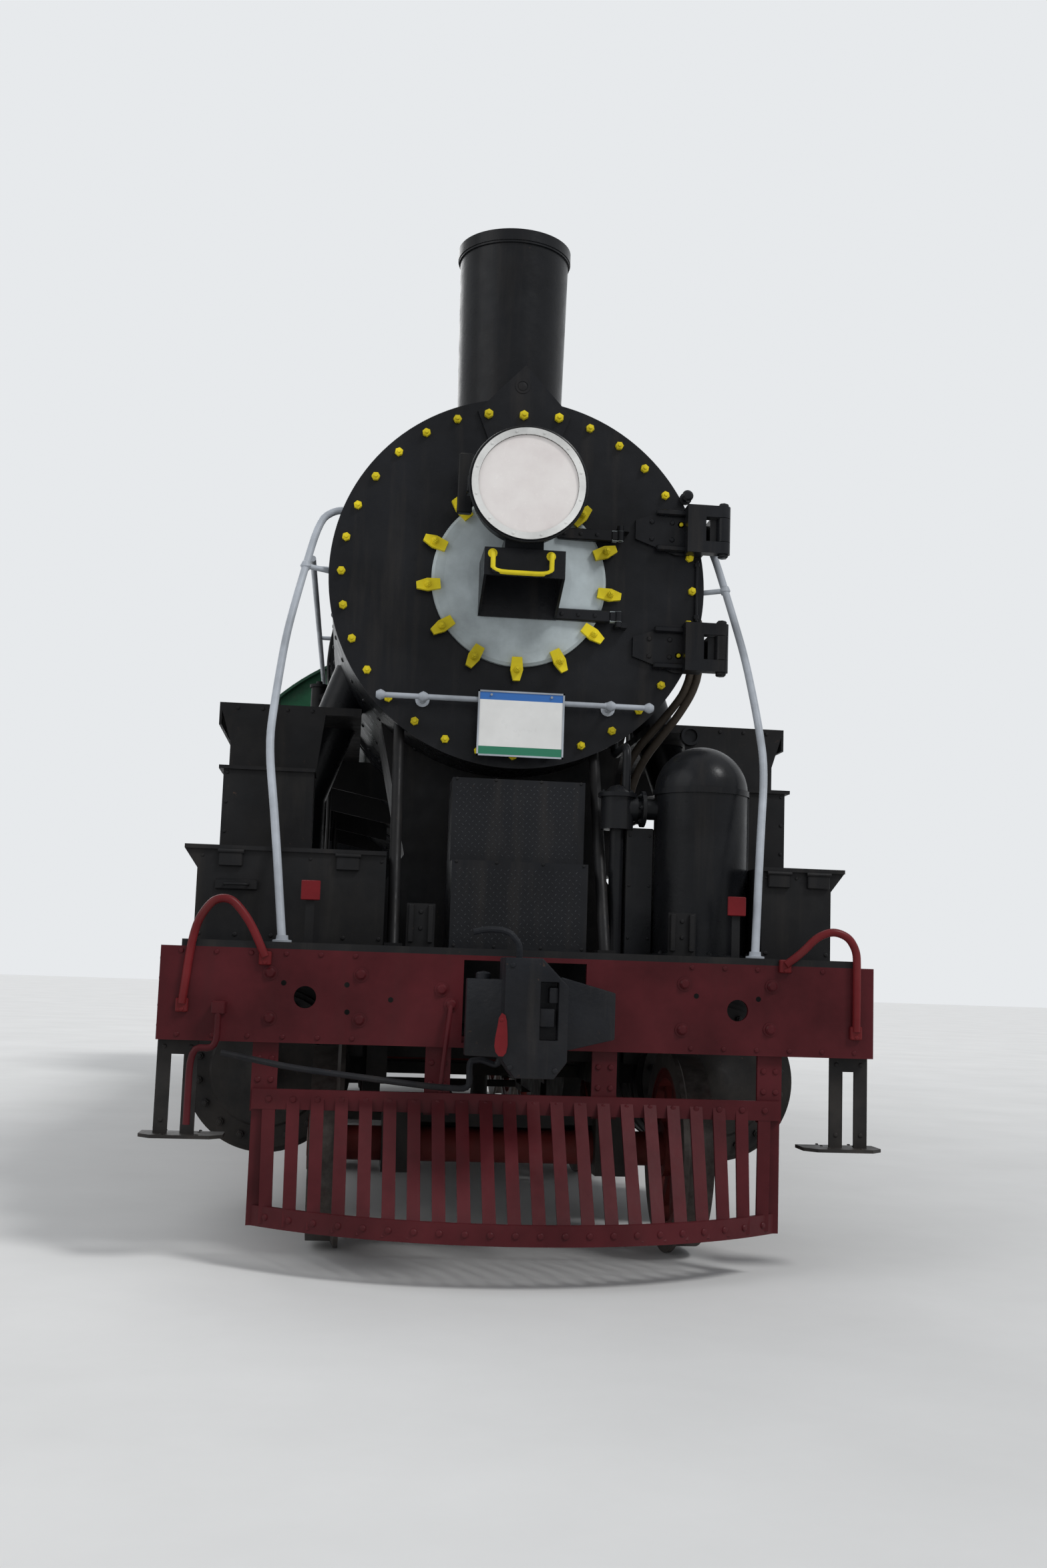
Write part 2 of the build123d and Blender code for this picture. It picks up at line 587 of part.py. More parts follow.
def front_plate():
    """The hinged smokebox front plate with its diamond top, door opening and hinge straps."""
    face, back = along(PLATE_FRONT), along(PLATE_FRONT + PLATE_T)
    plate = bar((0, face, BOILER_Z), (0, back, BOILER_Z), PLATE_R)
    plate -= bar((0, face - 1, BOILER_Z), (0, back + 1, BOILER_Z), INNER_HOLE_R)
    diamond = [(0, RAIL + 4130), (-228, RAIL + 3885), (-150, RAIL + 3690), (150, RAIL + 3690), (228, RAIL + 3885)]
    plate += front_sheet(diamond, face - 16, face)
    for low, high in HINGE_SPANS:
        for z0, z1 in ((low, low + 57), (high - 57, high)):
            leaf = Pos(HINGE_X, along(HINGE_Y), (z0 + z1) / 2) * Cylinder(HINGE_R, z1 - z0)
            leaf += block(HINGE_X - 95, HINGE_X, along(HINGE_Y) - 30, along(HINGE_Y) + 30, z0, z1)
            plate += leaf
        strap = [(560, low), (HINGE_X - 90, low), (HINGE_X - 90, high), (560, high)]
        plate += front_sheet([(560, low + 70), (760, low), (HINGE_X - 90, low), (HINGE_X - 90, high),
                              (760, high), (560, high - 70)], face - 20, face)
        plate += block(HINGE_X - 180, HINGE_X - 90, along(HINGE_Y) - 30, face, low, high)
        pin = Pos(HINGE_X, along(HINGE_Y), (low + high) / 2) * Cylinder(HINGE_PIN_R, high - low)
        plate += pin
    (low0, high0), (low1, high1) = INNER_HINGE_SPANS
    for z0, z1 in ((low0 - 26, low0 - 2), (high1 + 2, high1 + 26)):
        plate += Pos(INNER_HINGE_X, along(INNER_HINGE_Y), (z0 + z1) / 2) * Cylinder(16, z1 - z0)
        plate += block(INNER_HINGE_X - 10, INNER_HINGE_X + 45, along(INNER_HINGE_Y), face, z0, z1)
    plate += Pos(INNER_HINGE_X, along(INNER_HINGE_Y), (low0 - 10 + high0) / 2) * Cylinder(8, high0 - low0 + 10)
    plate += Pos(INNER_HINGE_X, along(INNER_HINGE_Y), (low1 + high1 + 10) / 2) * Cylinder(8, high1 - low1 + 10)
    return plate


def front_handrail():
    """The turned handrail low on the front plate."""
    y, z = along(750), RAIL + 2452
    rail = bar((-650, y, z), (650, y, z), 11)
    for x in (-637, -438, 449, 632):
        rail += Pos(x, y, z) * Sphere(22)
    for x in (-438, 449):
        rail += bar((x, y, z), (x, along(PLATE_FRONT), z), 13)
    return rail


def info_board():
    """The blank board that hangs on the front handrail."""
    y = along(750) - 11.5
    return block(-178, 222, y - 6, y, RAIL + 2190, RAIL + 2492)


def inner_door():
    """The round dished door with a rolled rim and its two hinge straps."""
    face = along(PLATE_FRONT)
    profile = [(0, 0), (0, INNER_DOOR_R), (-22, INNER_DOOR_R), (-34, INNER_DOOR_R - 14), (-34, INNER_DOOR_R - 60),
               (-44, 250), (-50, 0)]
    door = turned(profile, (0, face - 1, BOILER_Z), (0, 1, 0))
    for low, high in INNER_HINGE_SPANS:
        door += block(180, INNER_HINGE_X - 14, face - 62, face - 30, low, high)
        knuckle = Pos(INNER_HINGE_X, along(INNER_HINGE_Y), (low + high) / 2) * Cylinder(17, high - low)
        knuckle += block(INNER_HINGE_X - 40, INNER_HINGE_X, face - 70, face - 52, low, high)
        door += knuckle - Pos(INNER_HINGE_X, along(INNER_HINGE_Y), (low + high) / 2) * Cylinder(8 + RUN_GAP, 200)
    return door


CLAMP_COUNT = 13
CLAMP_FIRST_DEG = 13.8
CLAMP_R = 442
CLAMP_STEP_DEG = 27.7


def door_clamps():
    """The ring of clamps over the inner door's rim, each with its bolt boss."""
    y1 = along(PLATE_FRONT) - 35 - SEAT_GAP
    clamps = Part()
    for i in range(CLAMP_COUNT):
        angle = CLAMP_FIRST_DEG + i * CLAMP_STEP_DEG
        outline = [(-24, -62), (24, -62), (30, 0), (16, 52), (-16, 52), (-30, 0)]
        face = make_face(Polyline(*[(x, r + CLAMP_R) for x, r in outline], close=True))
        body = extrude(Plane(origin=(0, y1, 0), x_dir=(1, 0, 0), z_dir=(0, -1, 0)) * face, 24)
        body += bar((0, y1 - 24, CLAMP_R), (0, y1 - 46, CLAMP_R), 17)
        clamps += Pos(0, 0, BOILER_Z) * (Rot(Y=angle) * body)
    return clamps


LAMP_Z = RAIL + 3400
LAMP_X = -12
LAMP_R = 265
LAMP_FRONT = 400
LAMP_REAR = 690


def headlamp():
    """The round headlamp housing with its rim, on a shelf bracket with a lifting handle below."""
    centre = (LAMP_X, along(LAMP_FRONT), LAMP_Z)
    shell = [(0, LAMP_R - 34), (0, LAMP_R), (22, LAMP_R), (22, LAMP_R - 12), (150, LAMP_R - 14),
             (LAMP_REAR - LAMP_FRONT, LAMP_R - 60), (LAMP_REAR - LAMP_FRONT, 0), (150, 0), (150, LAMP_R - 34)]
    lamp = turned(shell, centre, (0, 1, 0))
    lamp += block(LAMP_X - 90, LAMP_X + 90, along(LAMP_FRONT + 110), along(LAMP_REAR - 20),
                  LAMP_SHELF_Z, LAMP_Z - LAMP_R + 40)
    return lamp


LAMP_SHELF_Z = RAIL + 3120
LAMP_SHELF_T = 12


def lamp_bracket():
    """The lamp's shelf with gussets back to the inner door and a U-shaped handle in front."""
    y0, y1 = along(500), along(PLATE_FRONT) - 51.3
    shelf = block(-195, 180, y0, y1, LAMP_SHELF_Z - LAMP_SHELF_T, LAMP_SHELF_Z)
    shelf += block(-195, 180, y0, y0 + 12, LAMP_SHELF_Z - 130, LAMP_SHELF_Z)
    for x in (-195, 168):
        gusset = [(y0, LAMP_SHELF_Z - LAMP_SHELF_T), (y1, LAMP_SHELF_Z - LAMP_SHELF_T), (y1, LAMP_SHELF_Z - 260),
                  (y0, LAMP_SHELF_Z - 130)]
        shelf += side_plate(gusset, x, x + 12)
    shelf += block(-195, 180, y1 - 12, y1, LAMP_SHELF_Z - 260, LAMP_SHELF_Z)
    handle = bent_bar([(-158, y0 + 2, LAMP_SHELF_Z - 30), (-158, y0 - 40, LAMP_SHELF_Z - 30),
                       (-158, y0 - 40, LAMP_SHELF_Z - 125), (112, y0 - 40, LAMP_SHELF_Z - 125),
                       (112, y0 - 40, LAMP_SHELF_Z - 30), (112, y0 + 2, LAMP_SHELF_Z - 30)], 9, 20)
    return shelf + handle


def lamp_glass():
    """The lens inside the lamp's rim."""
    lens = [(8, 0), (8, LAMP_R - 35), (18, LAMP_R - 35), (18, 0)]
    return turned(lens, (LAMP_X, along(LAMP_FRONT), LAMP_Z), (0, 1, 0))


def boiler_barrel():
    """The clad barrel from the tube plate to the firebox, with its front cone ring and bands."""
    front = along(PLATE_FRONT + PLATE_T + 2 + SMOKEBOX_LEN)
    end = along(BARREL_END)
    cone0, cone1 = 3600, 4700
    profile = [(0, 0), (0, BARREL_R), (cone0, BARREL_R), (cone1, FIREBOX_R), (end - front, FIREBOX_R),
               (end - front, 0)]
    barrel = turned(profile, (0, front, BOILER_Z), (0, 1, 0))
    for offset in (60, 1250, 2450, 3550):
        barrel += bar((0, front + offset, BOILER_Z), (0, front + offset + 60, BOILER_Z), BARREL_R + 6)
    return barrel


def firebox():
    """The clad round-topped firebox, widening to the foundation ring over the rear wheels."""
    front, back = along(BARREL_END), along(FIREBOX_END)
    crown_half = FIREBOX_R
    left = (-FIREBOX_HALF, front, FIREBOX_FOOT_Z)
    right = (FIREBOX_HALF, front, FIREBOX_FOOT_Z)
    shoulder_z = BOILER_Z
    top = ThreePointArc((-crown_half, front, shoulder_z), (0, front, shoulder_z + crown_half),
                        (crown_half, front, shoulder_z))
    edges = [top, Line((crown_half, front, shoulder_z), right), Line(right, left),
             Line(left, (-crown_half, front, shoulder_z))]
    box = extrude(make_face(edges), amount=back - front, dir=(0, 1, 0))
    throat = [(front - 10, FIREBOX_FOOT_Z - 10), (front + 430, FIREBOX_FOOT_Z - 10), (front - 10, BOILER_Z - 700)]
    box -= side_plate(throat, -1200, 1200)
    backhead = [(back + 10, FIREBOX_FOOT_Z + 500), (back - 260, BOILER_Z + 1100), (back + 10, BOILER_Z + 1100)]
    box -= side_plate(backhead, -1200, 1200)
    return box


def boiler_envelope():
    """The whole outside of smokebox, barrel and firebox, which cuts the seats of what stands on them."""
    front = along(PLATE_FRONT + PLATE_T + 2)
    shell = bar((0, front, BOILER_Z), (0, front + SMOKEBOX_LEN, BOILER_Z), SMOKEBOX_R)
    return shell + boiler_barrel() + firebox()


def ashpan():
    """The hopper below the foundation ring, between the frames."""
    front, back = along(BARREL_END + 430), along(FIREBOX_END - 60)
    pan = block(-480, 480, front, back, RAIL + 1130, FIREBOX_FOOT_Z)
    pan += block(-980, 980, front, back, FIREBOX_FOOT_Z - 60, FIREBOX_FOOT_Z)
    return pan


def chimney():
    """The tall plain chimney on its flared saddle, open through to the smokebox."""
    seat_z = BOILER_Z + SMOKEBOX_R
    bore = CHIMNEY_R - CHIMNEY_WALL
    top_r = CHIMNEY_R + 10
    outline = [(seat_z - 220, bore), (seat_z - 220, CHIMNEY_R + 75), (seat_z + 15, CHIMNEY_R + 75),
               (seat_z + 35, CHIMNEY_R + 40), (seat_z + 90, CHIMNEY_R + 10), (seat_z + 170, CHIMNEY_R - 6),
               (CHIMNEY_TOP_Z - 60, top_r), (CHIMNEY_TOP_Z - 60, top_r + 12), (CHIMNEY_TOP_Z, top_r + 12),
               (CHIMNEY_TOP_Z, bore)]
    stack = turned(outline, (0, along(CHIMNEY_Y), 0), (0, 0, 1))
    return stack - bar((0, along(CHIMNEY_Y) - 600, BOILER_Z), (0, along(CHIMNEY_Y) + 600, BOILER_Z), SMOKEBOX_R)


def dome(station, radius, height, seat_r):
    """A clad dome with a rounded top, sitting on the boiler."""
    top = BOILER_Z + seat_r + height
    crown = radius * 0.45
    profile = [(BOILER_Z + seat_r - 220, 0), (BOILER_Z + seat_r - 220, radius), (top - crown, radius),
               (top - crown * 0.4, radius * 0.86), (top - crown * 0.08, radius * 0.5), (top, 0)]
    return turned(profile, (0, along(station), 0), (0, 0, 1))


DOMES = ((3500, 430, 330, BARREL_R), (5200, 400, 380, BARREL_R), (6650, 430, 300, FIREBOX_R))


def boiler_domes():
    """The front sand dome, the steam dome and the rear sand dome: station, radius, height, boiler radius."""
    return Part() + [dome(*row) - BOILER for row in DOMES]


def boiler_fittings():
    """The safety valves, whistle and turbine generator on the firebox crown."""
    z = BOILER_Z + FIREBOX_R
    pieces = Part()
    for x in (-130, 130):
        valve = turned([(z - 40, 0), (z - 40, 70), (z + 40, 70), (z + 60, 45), (z + 170, 45), (z + 190, 30),
                        (z + 190, 0)], (x, along(8300), 0), (0, 0, 1))
        pieces += valve
    pieces += turned([(z - 20, 0), (z - 20, 22), (z + 110, 22), (z + 110, 40), (z + 260, 40), (z + 270, 0)],
                     (0, along(8650), 0), (0, 0, 1))
    pieces += block(-120, 120, along(8850), along(9180), z - 60, z + 30)
    pieces += bar((0, along(8860), z + 150), (0, along(9170), z + 150), 125)
    return pieces - BOILER


STEAM_PIPE_R = 112


def cylinder_block():
    """The right-hand cylinder with its piston-valve chest, covers and steam-pipe seat."""
    y = along(CYL_Y)
    body = bar((CYL_X, y - CYL_HALF + 30, CYL_Z), (CYL_X, y + CYL_HALF - 30, CYL_Z), CYL_R)
    for y0, y1, r in ((-CYL_HALF, -CYL_HALF + 30, CYL_R - 25), (CYL_HALF - 30, CYL_HALF, CYL_R - 25)):
        body += bar((CYL_X, y + y0, CYL_Z), (CYL_X, y + y1, CYL_Z), r)
    body += bar((VALVE_X, y - CYL_HALF, VALVE_Z), (VALVE_X, y + CYL_HALF, VALVE_Z), VALVE_R)
    web = [(SADDLE_HALF, RAIL + 760), (CYL_X, RAIL + 760), (CYL_X + 200, RAIL + 1050), (VALVE_X + VALVE_R - 30, VALVE_Z),
           (VALVE_X - 60, VALVE_Z + VALVE_R - 20), (SADDLE_HALF, VALVE_Z + 80)]
    body += front_sheet(web, y - CYL_HALF + 60, y + CYL_HALF - 60)
    body += block(FRAME_X + FRAME_T, CYL_X, y - 380, y + 380, RAIL + 660, RAIL + 1080)
    body += bar((VALVE_X - 20, y, VALVE_Z), (VALVE_X - 20, y, VALVE_Z + VALVE_R + 60), 150)
    return body


SADDLE_HALF = 640


def saddle():
    """The casting between the cylinders that carries the smokebox."""
    y = along(CYL_Y)
    seat = [(-SADDLE_HALF, BEAM_Z1), (SADDLE_HALF, BEAM_Z1), (SADDLE_HALF, VALVE_Z + 80), (480, RAIL + 1750),
            (640, RAIL + 2500), (-640, RAIL + 2500), (-480, RAIL + 1750), (-SADDLE_HALF, VALVE_Z + 80)]
    body = front_sheet(seat, y - 400, y + 400)
    body -= bar((0, y - 500, BOILER_Z), (0, y + 500, BOILER_Z), SMOKEBOX_R)
    body += block(-FRAME_X, FRAME_X, y - 400, y + 400, RAIL + 760, BEAM_Z1)
    return body


def steam_pipes():
    """The outside steam pipe from each side of the smokebox down to its valve chest."""
    y = along(CYL_Y)
    z0 = VALVE_Z + VALVE_R + 60
    pipe = steam_pipe_run(STEAM_PIPE_R)
    pipe += bar((VALVE_X - 20, y, z0), (VALVE_X - 20, y, z0 + 40), 160)
    return both_sides(pipe - BOILER)


def steam_pipe_run(radius):
    """The route of the right steam pipe, at any radius."""
    y = along(CYL_Y)
    z0 = VALVE_Z + VALVE_R + 60
    return bent_bar([(VALVE_X - 20, y, z0), (VALVE_X - 20, y, RAIL + 2050), (760, y, RAIL + 2720)], radius, 200)


GUIDE_X = (1032, 1148)
GUIDE_REACH = 3560
CROSSHEAD_STATIONS = {"right": 2990, "left": 3330}
ROD_PLANE = (1052, 1128)


def slide_bars():
    """The two guide bars behind the right cylinder and the yoke plate that holds them."""
    y0, y1 = along(CYL_Y + CYL_HALF), along(GUIDE_REACH)
    bars = block(*GUIDE_X, y0, y1, CYL_Z + 130, CYL_Z + 190)
    bars += block(*GUIDE_X, y0, y1, CYL_Z - 190, CYL_Z - 130)
    yoke = [(FRAME_X + FRAME_T, RAIL + 1440), (1200, RAIL + 1440), (1200, CYL_Z - 215), (1152, CYL_Z - 215),
            (1152, CYL_Z + 210), (1032, CYL_Z + 210), (1032, RAIL + 1380), (FRAME_X + FRAME_T, RAIL + 1380)]
    bars += front_sheet(yoke, y1 - 60, y1 - 20)
    bars += block(FRAME_X + FRAME_T, FRAME_X + FRAME_T + 30, y1 - 60, y1 - 20, RAIL + 950, RAIL + 1440)
    return bars


def crosshead(station):
    """The right crosshead between its slide bars, with the piston rod into the cylinder."""
    y = along(station)
    head = block(GUIDE_X[0] + 4, GUIDE_X[1] - 4, y - 190, y + 190, CYL_Z + 85, CYL_Z + 129)
    head += block(GUIDE_X[0] + 4, GUIDE_X[1] - 4, y - 190, y + 190, CYL_Z - 129, CYL_Z - 85)
    head += block(GUIDE_X[0] + 4, ROD_PLANE[0] - 2, y - 120, y + 120, CYL_Z - 90, CYL_Z + 90)
    head += block(ROD_PLANE[1] + 2, GUIDE_X[1] - 4, y - 120, y + 120, CYL_Z - 90, CYL_Z + 90)
    head += block(GUIDE_X[0] + 4, GUIDE_X[1] - 4, y - 190, y - 110, CYL_Z - 90, CYL_Z + 90)
    head += bar((GUIDE_X[0] + 4, y + 20, CYL_Z), (GUIDE_X[1] + 12, y + 20, CYL_Z), 42)
    head += bar((CYL_X, along(CYL_Y + CYL_HALF), CYL_Z), (CYL_X, y - 120, CYL_Z), 50)
    return head


def main_rod(station, crank_deg):
    """The right main rod from the crosshead pin to the outer end of the main crank pin."""
    pin_y = along(station) + 20
    end_y = driver_station(MAIN_DRIVER) + CRANK_R * math.cos(math.radians(crank_deg))
    end_z = RAIL + DRIVER_R + CRANK_R * math.sin(math.radians(crank_deg))
    length = math.hypot(end_y - pin_y, end_z - CYL_Z)
    tilt = math.degrees(math.atan2(end_z - CYL_Z, end_y - pin_y))
    outline = [(0, -45), (0, 45), (length - 60, 62), (length - 60, -62)]
    rod = side_plate(outline, *ROD_PLANE)
    rod += bar((ROD_PLANE[0], 0, 0), (ROD_PLANE[1], 0, 0), 78)
    rod += block(*ROD_PLANE, length - 130, length + 130, -110, 110)
    rod -= bar((ROD_PLANE[0] - 1, 0, 0), (ROD_PLANE[1] + 1, 0, 0), 42)
    rod += bar((ROD_PLANE[0] - 12, length, 0), (RETURN_X[0], length, 0), 55)
    return Pos(0, pin_y, CYL_Z) * (Rot(X=tilt) * rod)


RETURN_X = (1140, 1172)
LINK_STATION = 4080
LINK_Z = RAIL + 1450


def valve_gear(station, crank_deg):
    """The right outside valve gear: return crank, eccentric rod, slotted link, radius rod and combination lever."""
    angle = math.radians(crank_deg)
    pin_y = driver_station(MAIN_DRIVER) + CRANK_R * math.cos(angle)
    pin_z = RAIL + DRIVER_R + CRANK_R * math.sin(angle)
    swing = angle + math.radians(118)
    ecc_y, ecc_z = pin_y + 330 * math.cos(swing), pin_z + 330 * math.sin(swing)
    gear = flat_link((pin_y, pin_z), (ecc_y, ecc_z), 58, 40, *RETURN_X)
    tail = (along(LINK_STATION), LINK_Z - 330)
    gear += flat_link((ecc_y, ecc_z), tail, 42, 34, RETURN_X[1], RETURN_X[1] + 34)
    gear += bar((RETURN_X[0], ecc_y, ecc_z), (RETURN_X[1] + 40, ecc_y, ecc_z), 26)
    link = block(1120, 1172, along(LINK_STATION) - 48, along(LINK_STATION) + 48, LINK_Z - 290, LINK_Z + 290)
    link -= block(1110, 1180, along(LINK_STATION) - 20, along(LINK_STATION) + 20, LINK_Z - 235, LINK_Z + 235)
    link += block(1140, 1172, along(LINK_STATION) - 36, along(LINK_STATION) + 36, LINK_Z - 370, LINK_Z - 280)
    gear += link
    valve_y = along(CYL_Y + CYL_HALF + 250)
    gear += flat_link((along(LINK_STATION), LINK_Z + 90), (valve_y, VALVE_Z + 60), 26, 26, 1132, 1160)
    gear += flat_link((valve_y, VALVE_Z + 60), (valve_y + 60, CYL_Z - 300), 30, 24, 1160, 1184)
    gear += flat_link((valve_y + 60, CYL_Z - 300), (along(station) + 20, CYL_Z - 240), 24, 24, 1184, 1204)
    gear += flat_link((along(station) + 20, CYL_Z - 240), (along(station) + 20, CYL_Z), 30, 30, 1160, 1184)
    gear += bar((1160, along(station) + 20, CYL_Z - 240), (1204, along(station) + 20, CYL_Z - 240), 18)
    gear += bar((1132, valve_y, VALVE_Z + 60), (1184, valve_y, VALVE_Z + 60), 20)
    gear += bar((VALVE_X, along(CYL_Y + CYL_HALF), VALVE_Z), (VALVE_X, valve_y + 60, VALVE_Z), 26)
    gear += block(VALVE_X - 30, 1140, valve_y - 45, valve_y + 45, VALVE_Z - 40, VALVE_Z + 80)
    gear += bar((1172, along(LINK_STATION), LINK_Z), (1215, along(LINK_STATION), LINK_Z), 40)
    bracket = [(FRAME_X + FRAME_T, RAIL + 1800), (1240, RAIL + 1800), (1240, LINK_Z - 60), (1204, LINK_Z - 60),
               (1204, RAIL + 1770), (FRAME_X + FRAME_T, RAIL + 1770)]
    gear += front_sheet(bracket, along(LINK_STATION) - 60, along(LINK_STATION) + 60)
    gear += block(FRAME_X + 10, FRAME_X + FRAME_T - 10, along(LINK_STATION) - 60, along(LINK_STATION) + 60,
                  FRAME_TOP, RAIL + 1800)
    return gear


def flat_link(start, end, start_r, end_r, x0, x1):
    """A flat link between two (y, z) pins with a round eye at each end."""
    length = math.hypot(end[0] - start[0], end[1] - start[1])
    tilt = math.degrees(math.atan2(end[1] - start[1], end[0] - start[0]))
    shank = side_plate([(0, -start_r * 0.7), (0, start_r * 0.7), (length, end_r * 0.7), (length, -end_r * 0.7)], x0, x1)
    shank += bar((x0, 0, 0), (x1, 0, 0), start_r)
    shank += bar((x0, length, 0), (x1, length, 0), end_r)
    return Pos(0, start[0], start[1]) * (Rot(X=tilt) * shank)


TRUCK_X = 470


def pony_truck():
    """The pony truck's A-frame from its pivot to two inside axleboxes."""
    y_axle, z = along(PONY_AXLE), RAIL + PONY_R
    boxes = Part()
    for x in (-TRUCK_X, TRUCK_X):
        box = block(x - 80, x + 80, y_axle - 130, y_axle + 130, z - 110, z + 150)
        boxes += box
    arms = flat_sheet([(-TRUCK_X - 60, y_axle + 100), (-TRUCK_X + 60, y_axle + 100), (60, along(PONY_PIVOT) - 60),
                       (-60, along(PONY_PIVOT) - 60)], RAIL + 395, RAIL + 470)
    arms += flat_sheet([(TRUCK_X - 60, y_axle + 100), (TRUCK_X + 60, y_axle + 100), (60, along(PONY_PIVOT) - 60),
                        (-60, along(PONY_PIVOT) - 60)], RAIL + 395, RAIL + 470)
    cross = block(-TRUCK_X, TRUCK_X, y_axle + 100, y_axle + 130, z - 80, z + 150)
    eye = Pos(0, along(PONY_PIVOT), RAIL + 432.5) * Cylinder(110, 75)
    truck = boxes + arms + cross + eye
    truck -= Pos(0, along(PONY_PIVOT), RAIL + 432.5) * Cylinder(45 + RUN_GAP, 80)
    truck -= bar((-TRUCK_X - 90, y_axle, z), (TRUCK_X + 90, y_axle, z), PONY_AXLE_R + RUN_GAP)
    truck += block(-200, 200, y_axle - 110, y_axle + 110, z + 90, z + 150)
    truck += block(-TRUCK_X, TRUCK_X, y_axle - 40, y_axle + 40, z + 100, z + 150)
    return truck


def air_reservoirs():
    """A long air tank under each running board, on two straps."""
    tank = bar((1120, along(4700), RAIL + 2090), (1120, along(6900), RAIL + 2090), 190)
    for station in (5000, 6600):
        tank += block(1100, 1140, along(station) - 30, along(station) + 30, RAIL + 2260, BOARD_Z - BOARD_T)
    return both_sides(tank)


TANK_X = 862
TANK_Y = along(620)
TANK_R = 215
TANK_TOP_Z = RAIL + 2255


def front_tank():
    """The tall dome-topped vessel on the deck and its pipes to the smokebox side."""
    base = DECK_Z
    body = Pos(TANK_X, TANK_Y, (base + TANK_TOP_Z - TANK_R) / 2) * Cylinder(TANK_R, TANK_TOP_Z - TANK_R - base)
    crown = Pos(TANK_X, TANK_Y, TANK_TOP_Z - TANK_R) * Sphere(TANK_R)
    body += crown
    body += Pos(TANK_X, TANK_Y, RAIL + 2035) * Cylinder(TANK_R + 8, 26)
    body += bar((545, TANK_Y, RAIL + 1955), (TANK_X, TANK_Y, RAIL + 1955), 48)
    body += Pos(470, TANK_Y, RAIL + 1930) * Cylinder(75, 150)
    body += bar((470, TANK_Y, RAIL + 1955), (560, TANK_Y, RAIL + 1955), 58)
    body += Pos(470, TANK_Y, (RAIL + 1860 + base) / 2) * Cylinder(32, RAIL + 1860 - base)
    return body


def smokebox_braces():
    """Two round stays from the deck up to the smokebox bottom."""
    stays = Part()
    for x in (-540, 400):
        drop = math.sqrt(SMOKEBOX_R ** 2 - x ** 2)
        stays += bar((x, along(400), DECK_Z - 60), (x, along(950), BOILER_Z - drop + 40), 26)
        stays += block(x - 40, x + 40, along(380), along(490), DECK_Z, DECK_Z + 18)
    stays -= block(-1000, 1000, along(300), along(600), DECK_Z - 200, DECK_Z)
    return stays - BOILER


def lamp_posts():
    """The small lamp-bracket plates and square markers standing on the deck."""
    y = along(200)
    posts = Part()
    for x in (-432, 696):
        posts += block(x - 60, x + 60, y, y + 12, DECK_Z, RAIL + 1466)
    for x in (-900, 933):
        posts += block(x - 18, x + 18, y, y + 14, DECK_Z, RAIL + 1545)
        posts += block(x - 40, x + 40, y - 6, y, RAIL + 1462, RAIL + 1545)
    return posts


def boiler_rails():
    """A handrail along each side of the boiler on turned posts."""
    z = BOILER_Z + 250
    x = 1010
    rail = bar((x, along(1600), z), (x, along(CAB_FRONT), z), 16)
    for station in (1800, 3600, 5400, 7100, 8900):
        rail += bar((x - 180, along(station), z), (x, along(station), z), 13)
    return both_sides(rail - BOILER)


def under_roof(y0, y1):
    """The space below the arched roof between two stations."""
    return bar((0, y0, ROOF_CENTRE_Z), (0, y1, ROOF_CENTRE_Z), ROOF_R - ROOF_T)


def cab_front():
    """The cab's front sheet round the firebox, with a window each side."""
    y0, y1 = along(CAB_FRONT), along(CAB_FRONT) + 16
    sheet = block(-CAB_HALF, CAB_HALF, y0, y1, CAB_FOOT_Z, ROOF_CENTRE_Z + ROOF_R)
    sheet = sheet & under_roof(y0 - 1, y1 + 1)
    sheet -= bar((0, y0 - 1, BOILER_Z), (0, y1 + 1, BOILER_Z), FIREBOX_R + 5)
    slope = [(-FIREBOX_R - 5, BOILER_Z), (FIREBOX_R + 5, BOILER_Z), (FIREBOX_HALF + 5, CAB_FOOT_Z - 5),
             (-FIREBOX_HALF - 5, CAB_FOOT_Z - 5)]
    sheet -= front_sheet(slope, y0 - 1, y1 + 1)
    for side in (-1, 1):
        sheet -= block(side * 1110, side * 1430, y0 - 1, y1 + 1, RAIL + 2960, RAIL + 3600)
    return sheet


WINDOWS = ((9760, 10420), (10560, 11160))    # front and back of each side window
WINDOW_Z = (RAIL + 2760, RAIL + 3420)


def cab_side():
    """The right side wall with its two windows and the cut-back doorway edge."""
    top = ROOF_CENTRE_Z + ROOF_R
    wall = block(CAB_HALF - CAB_WALL, CAB_HALF, along(CAB_FRONT) + 16, along(CAB_REAR - 320), CAB_FOOT_Z, top)
    wall += block(CAB_HALF - CAB_WALL, CAB_HALF, along(CAB_REAR - 320), along(CAB_REAR), RAIL + 3480, top)
    wall = wall & under_roof(along(CAB_FRONT), along(CAB_REAR))
    for front, back in WINDOWS:
        wall -= block(CAB_HALF - CAB_WALL - 1, CAB_HALF + 1, along(front), along(back), *WINDOW_Z)
    return wall


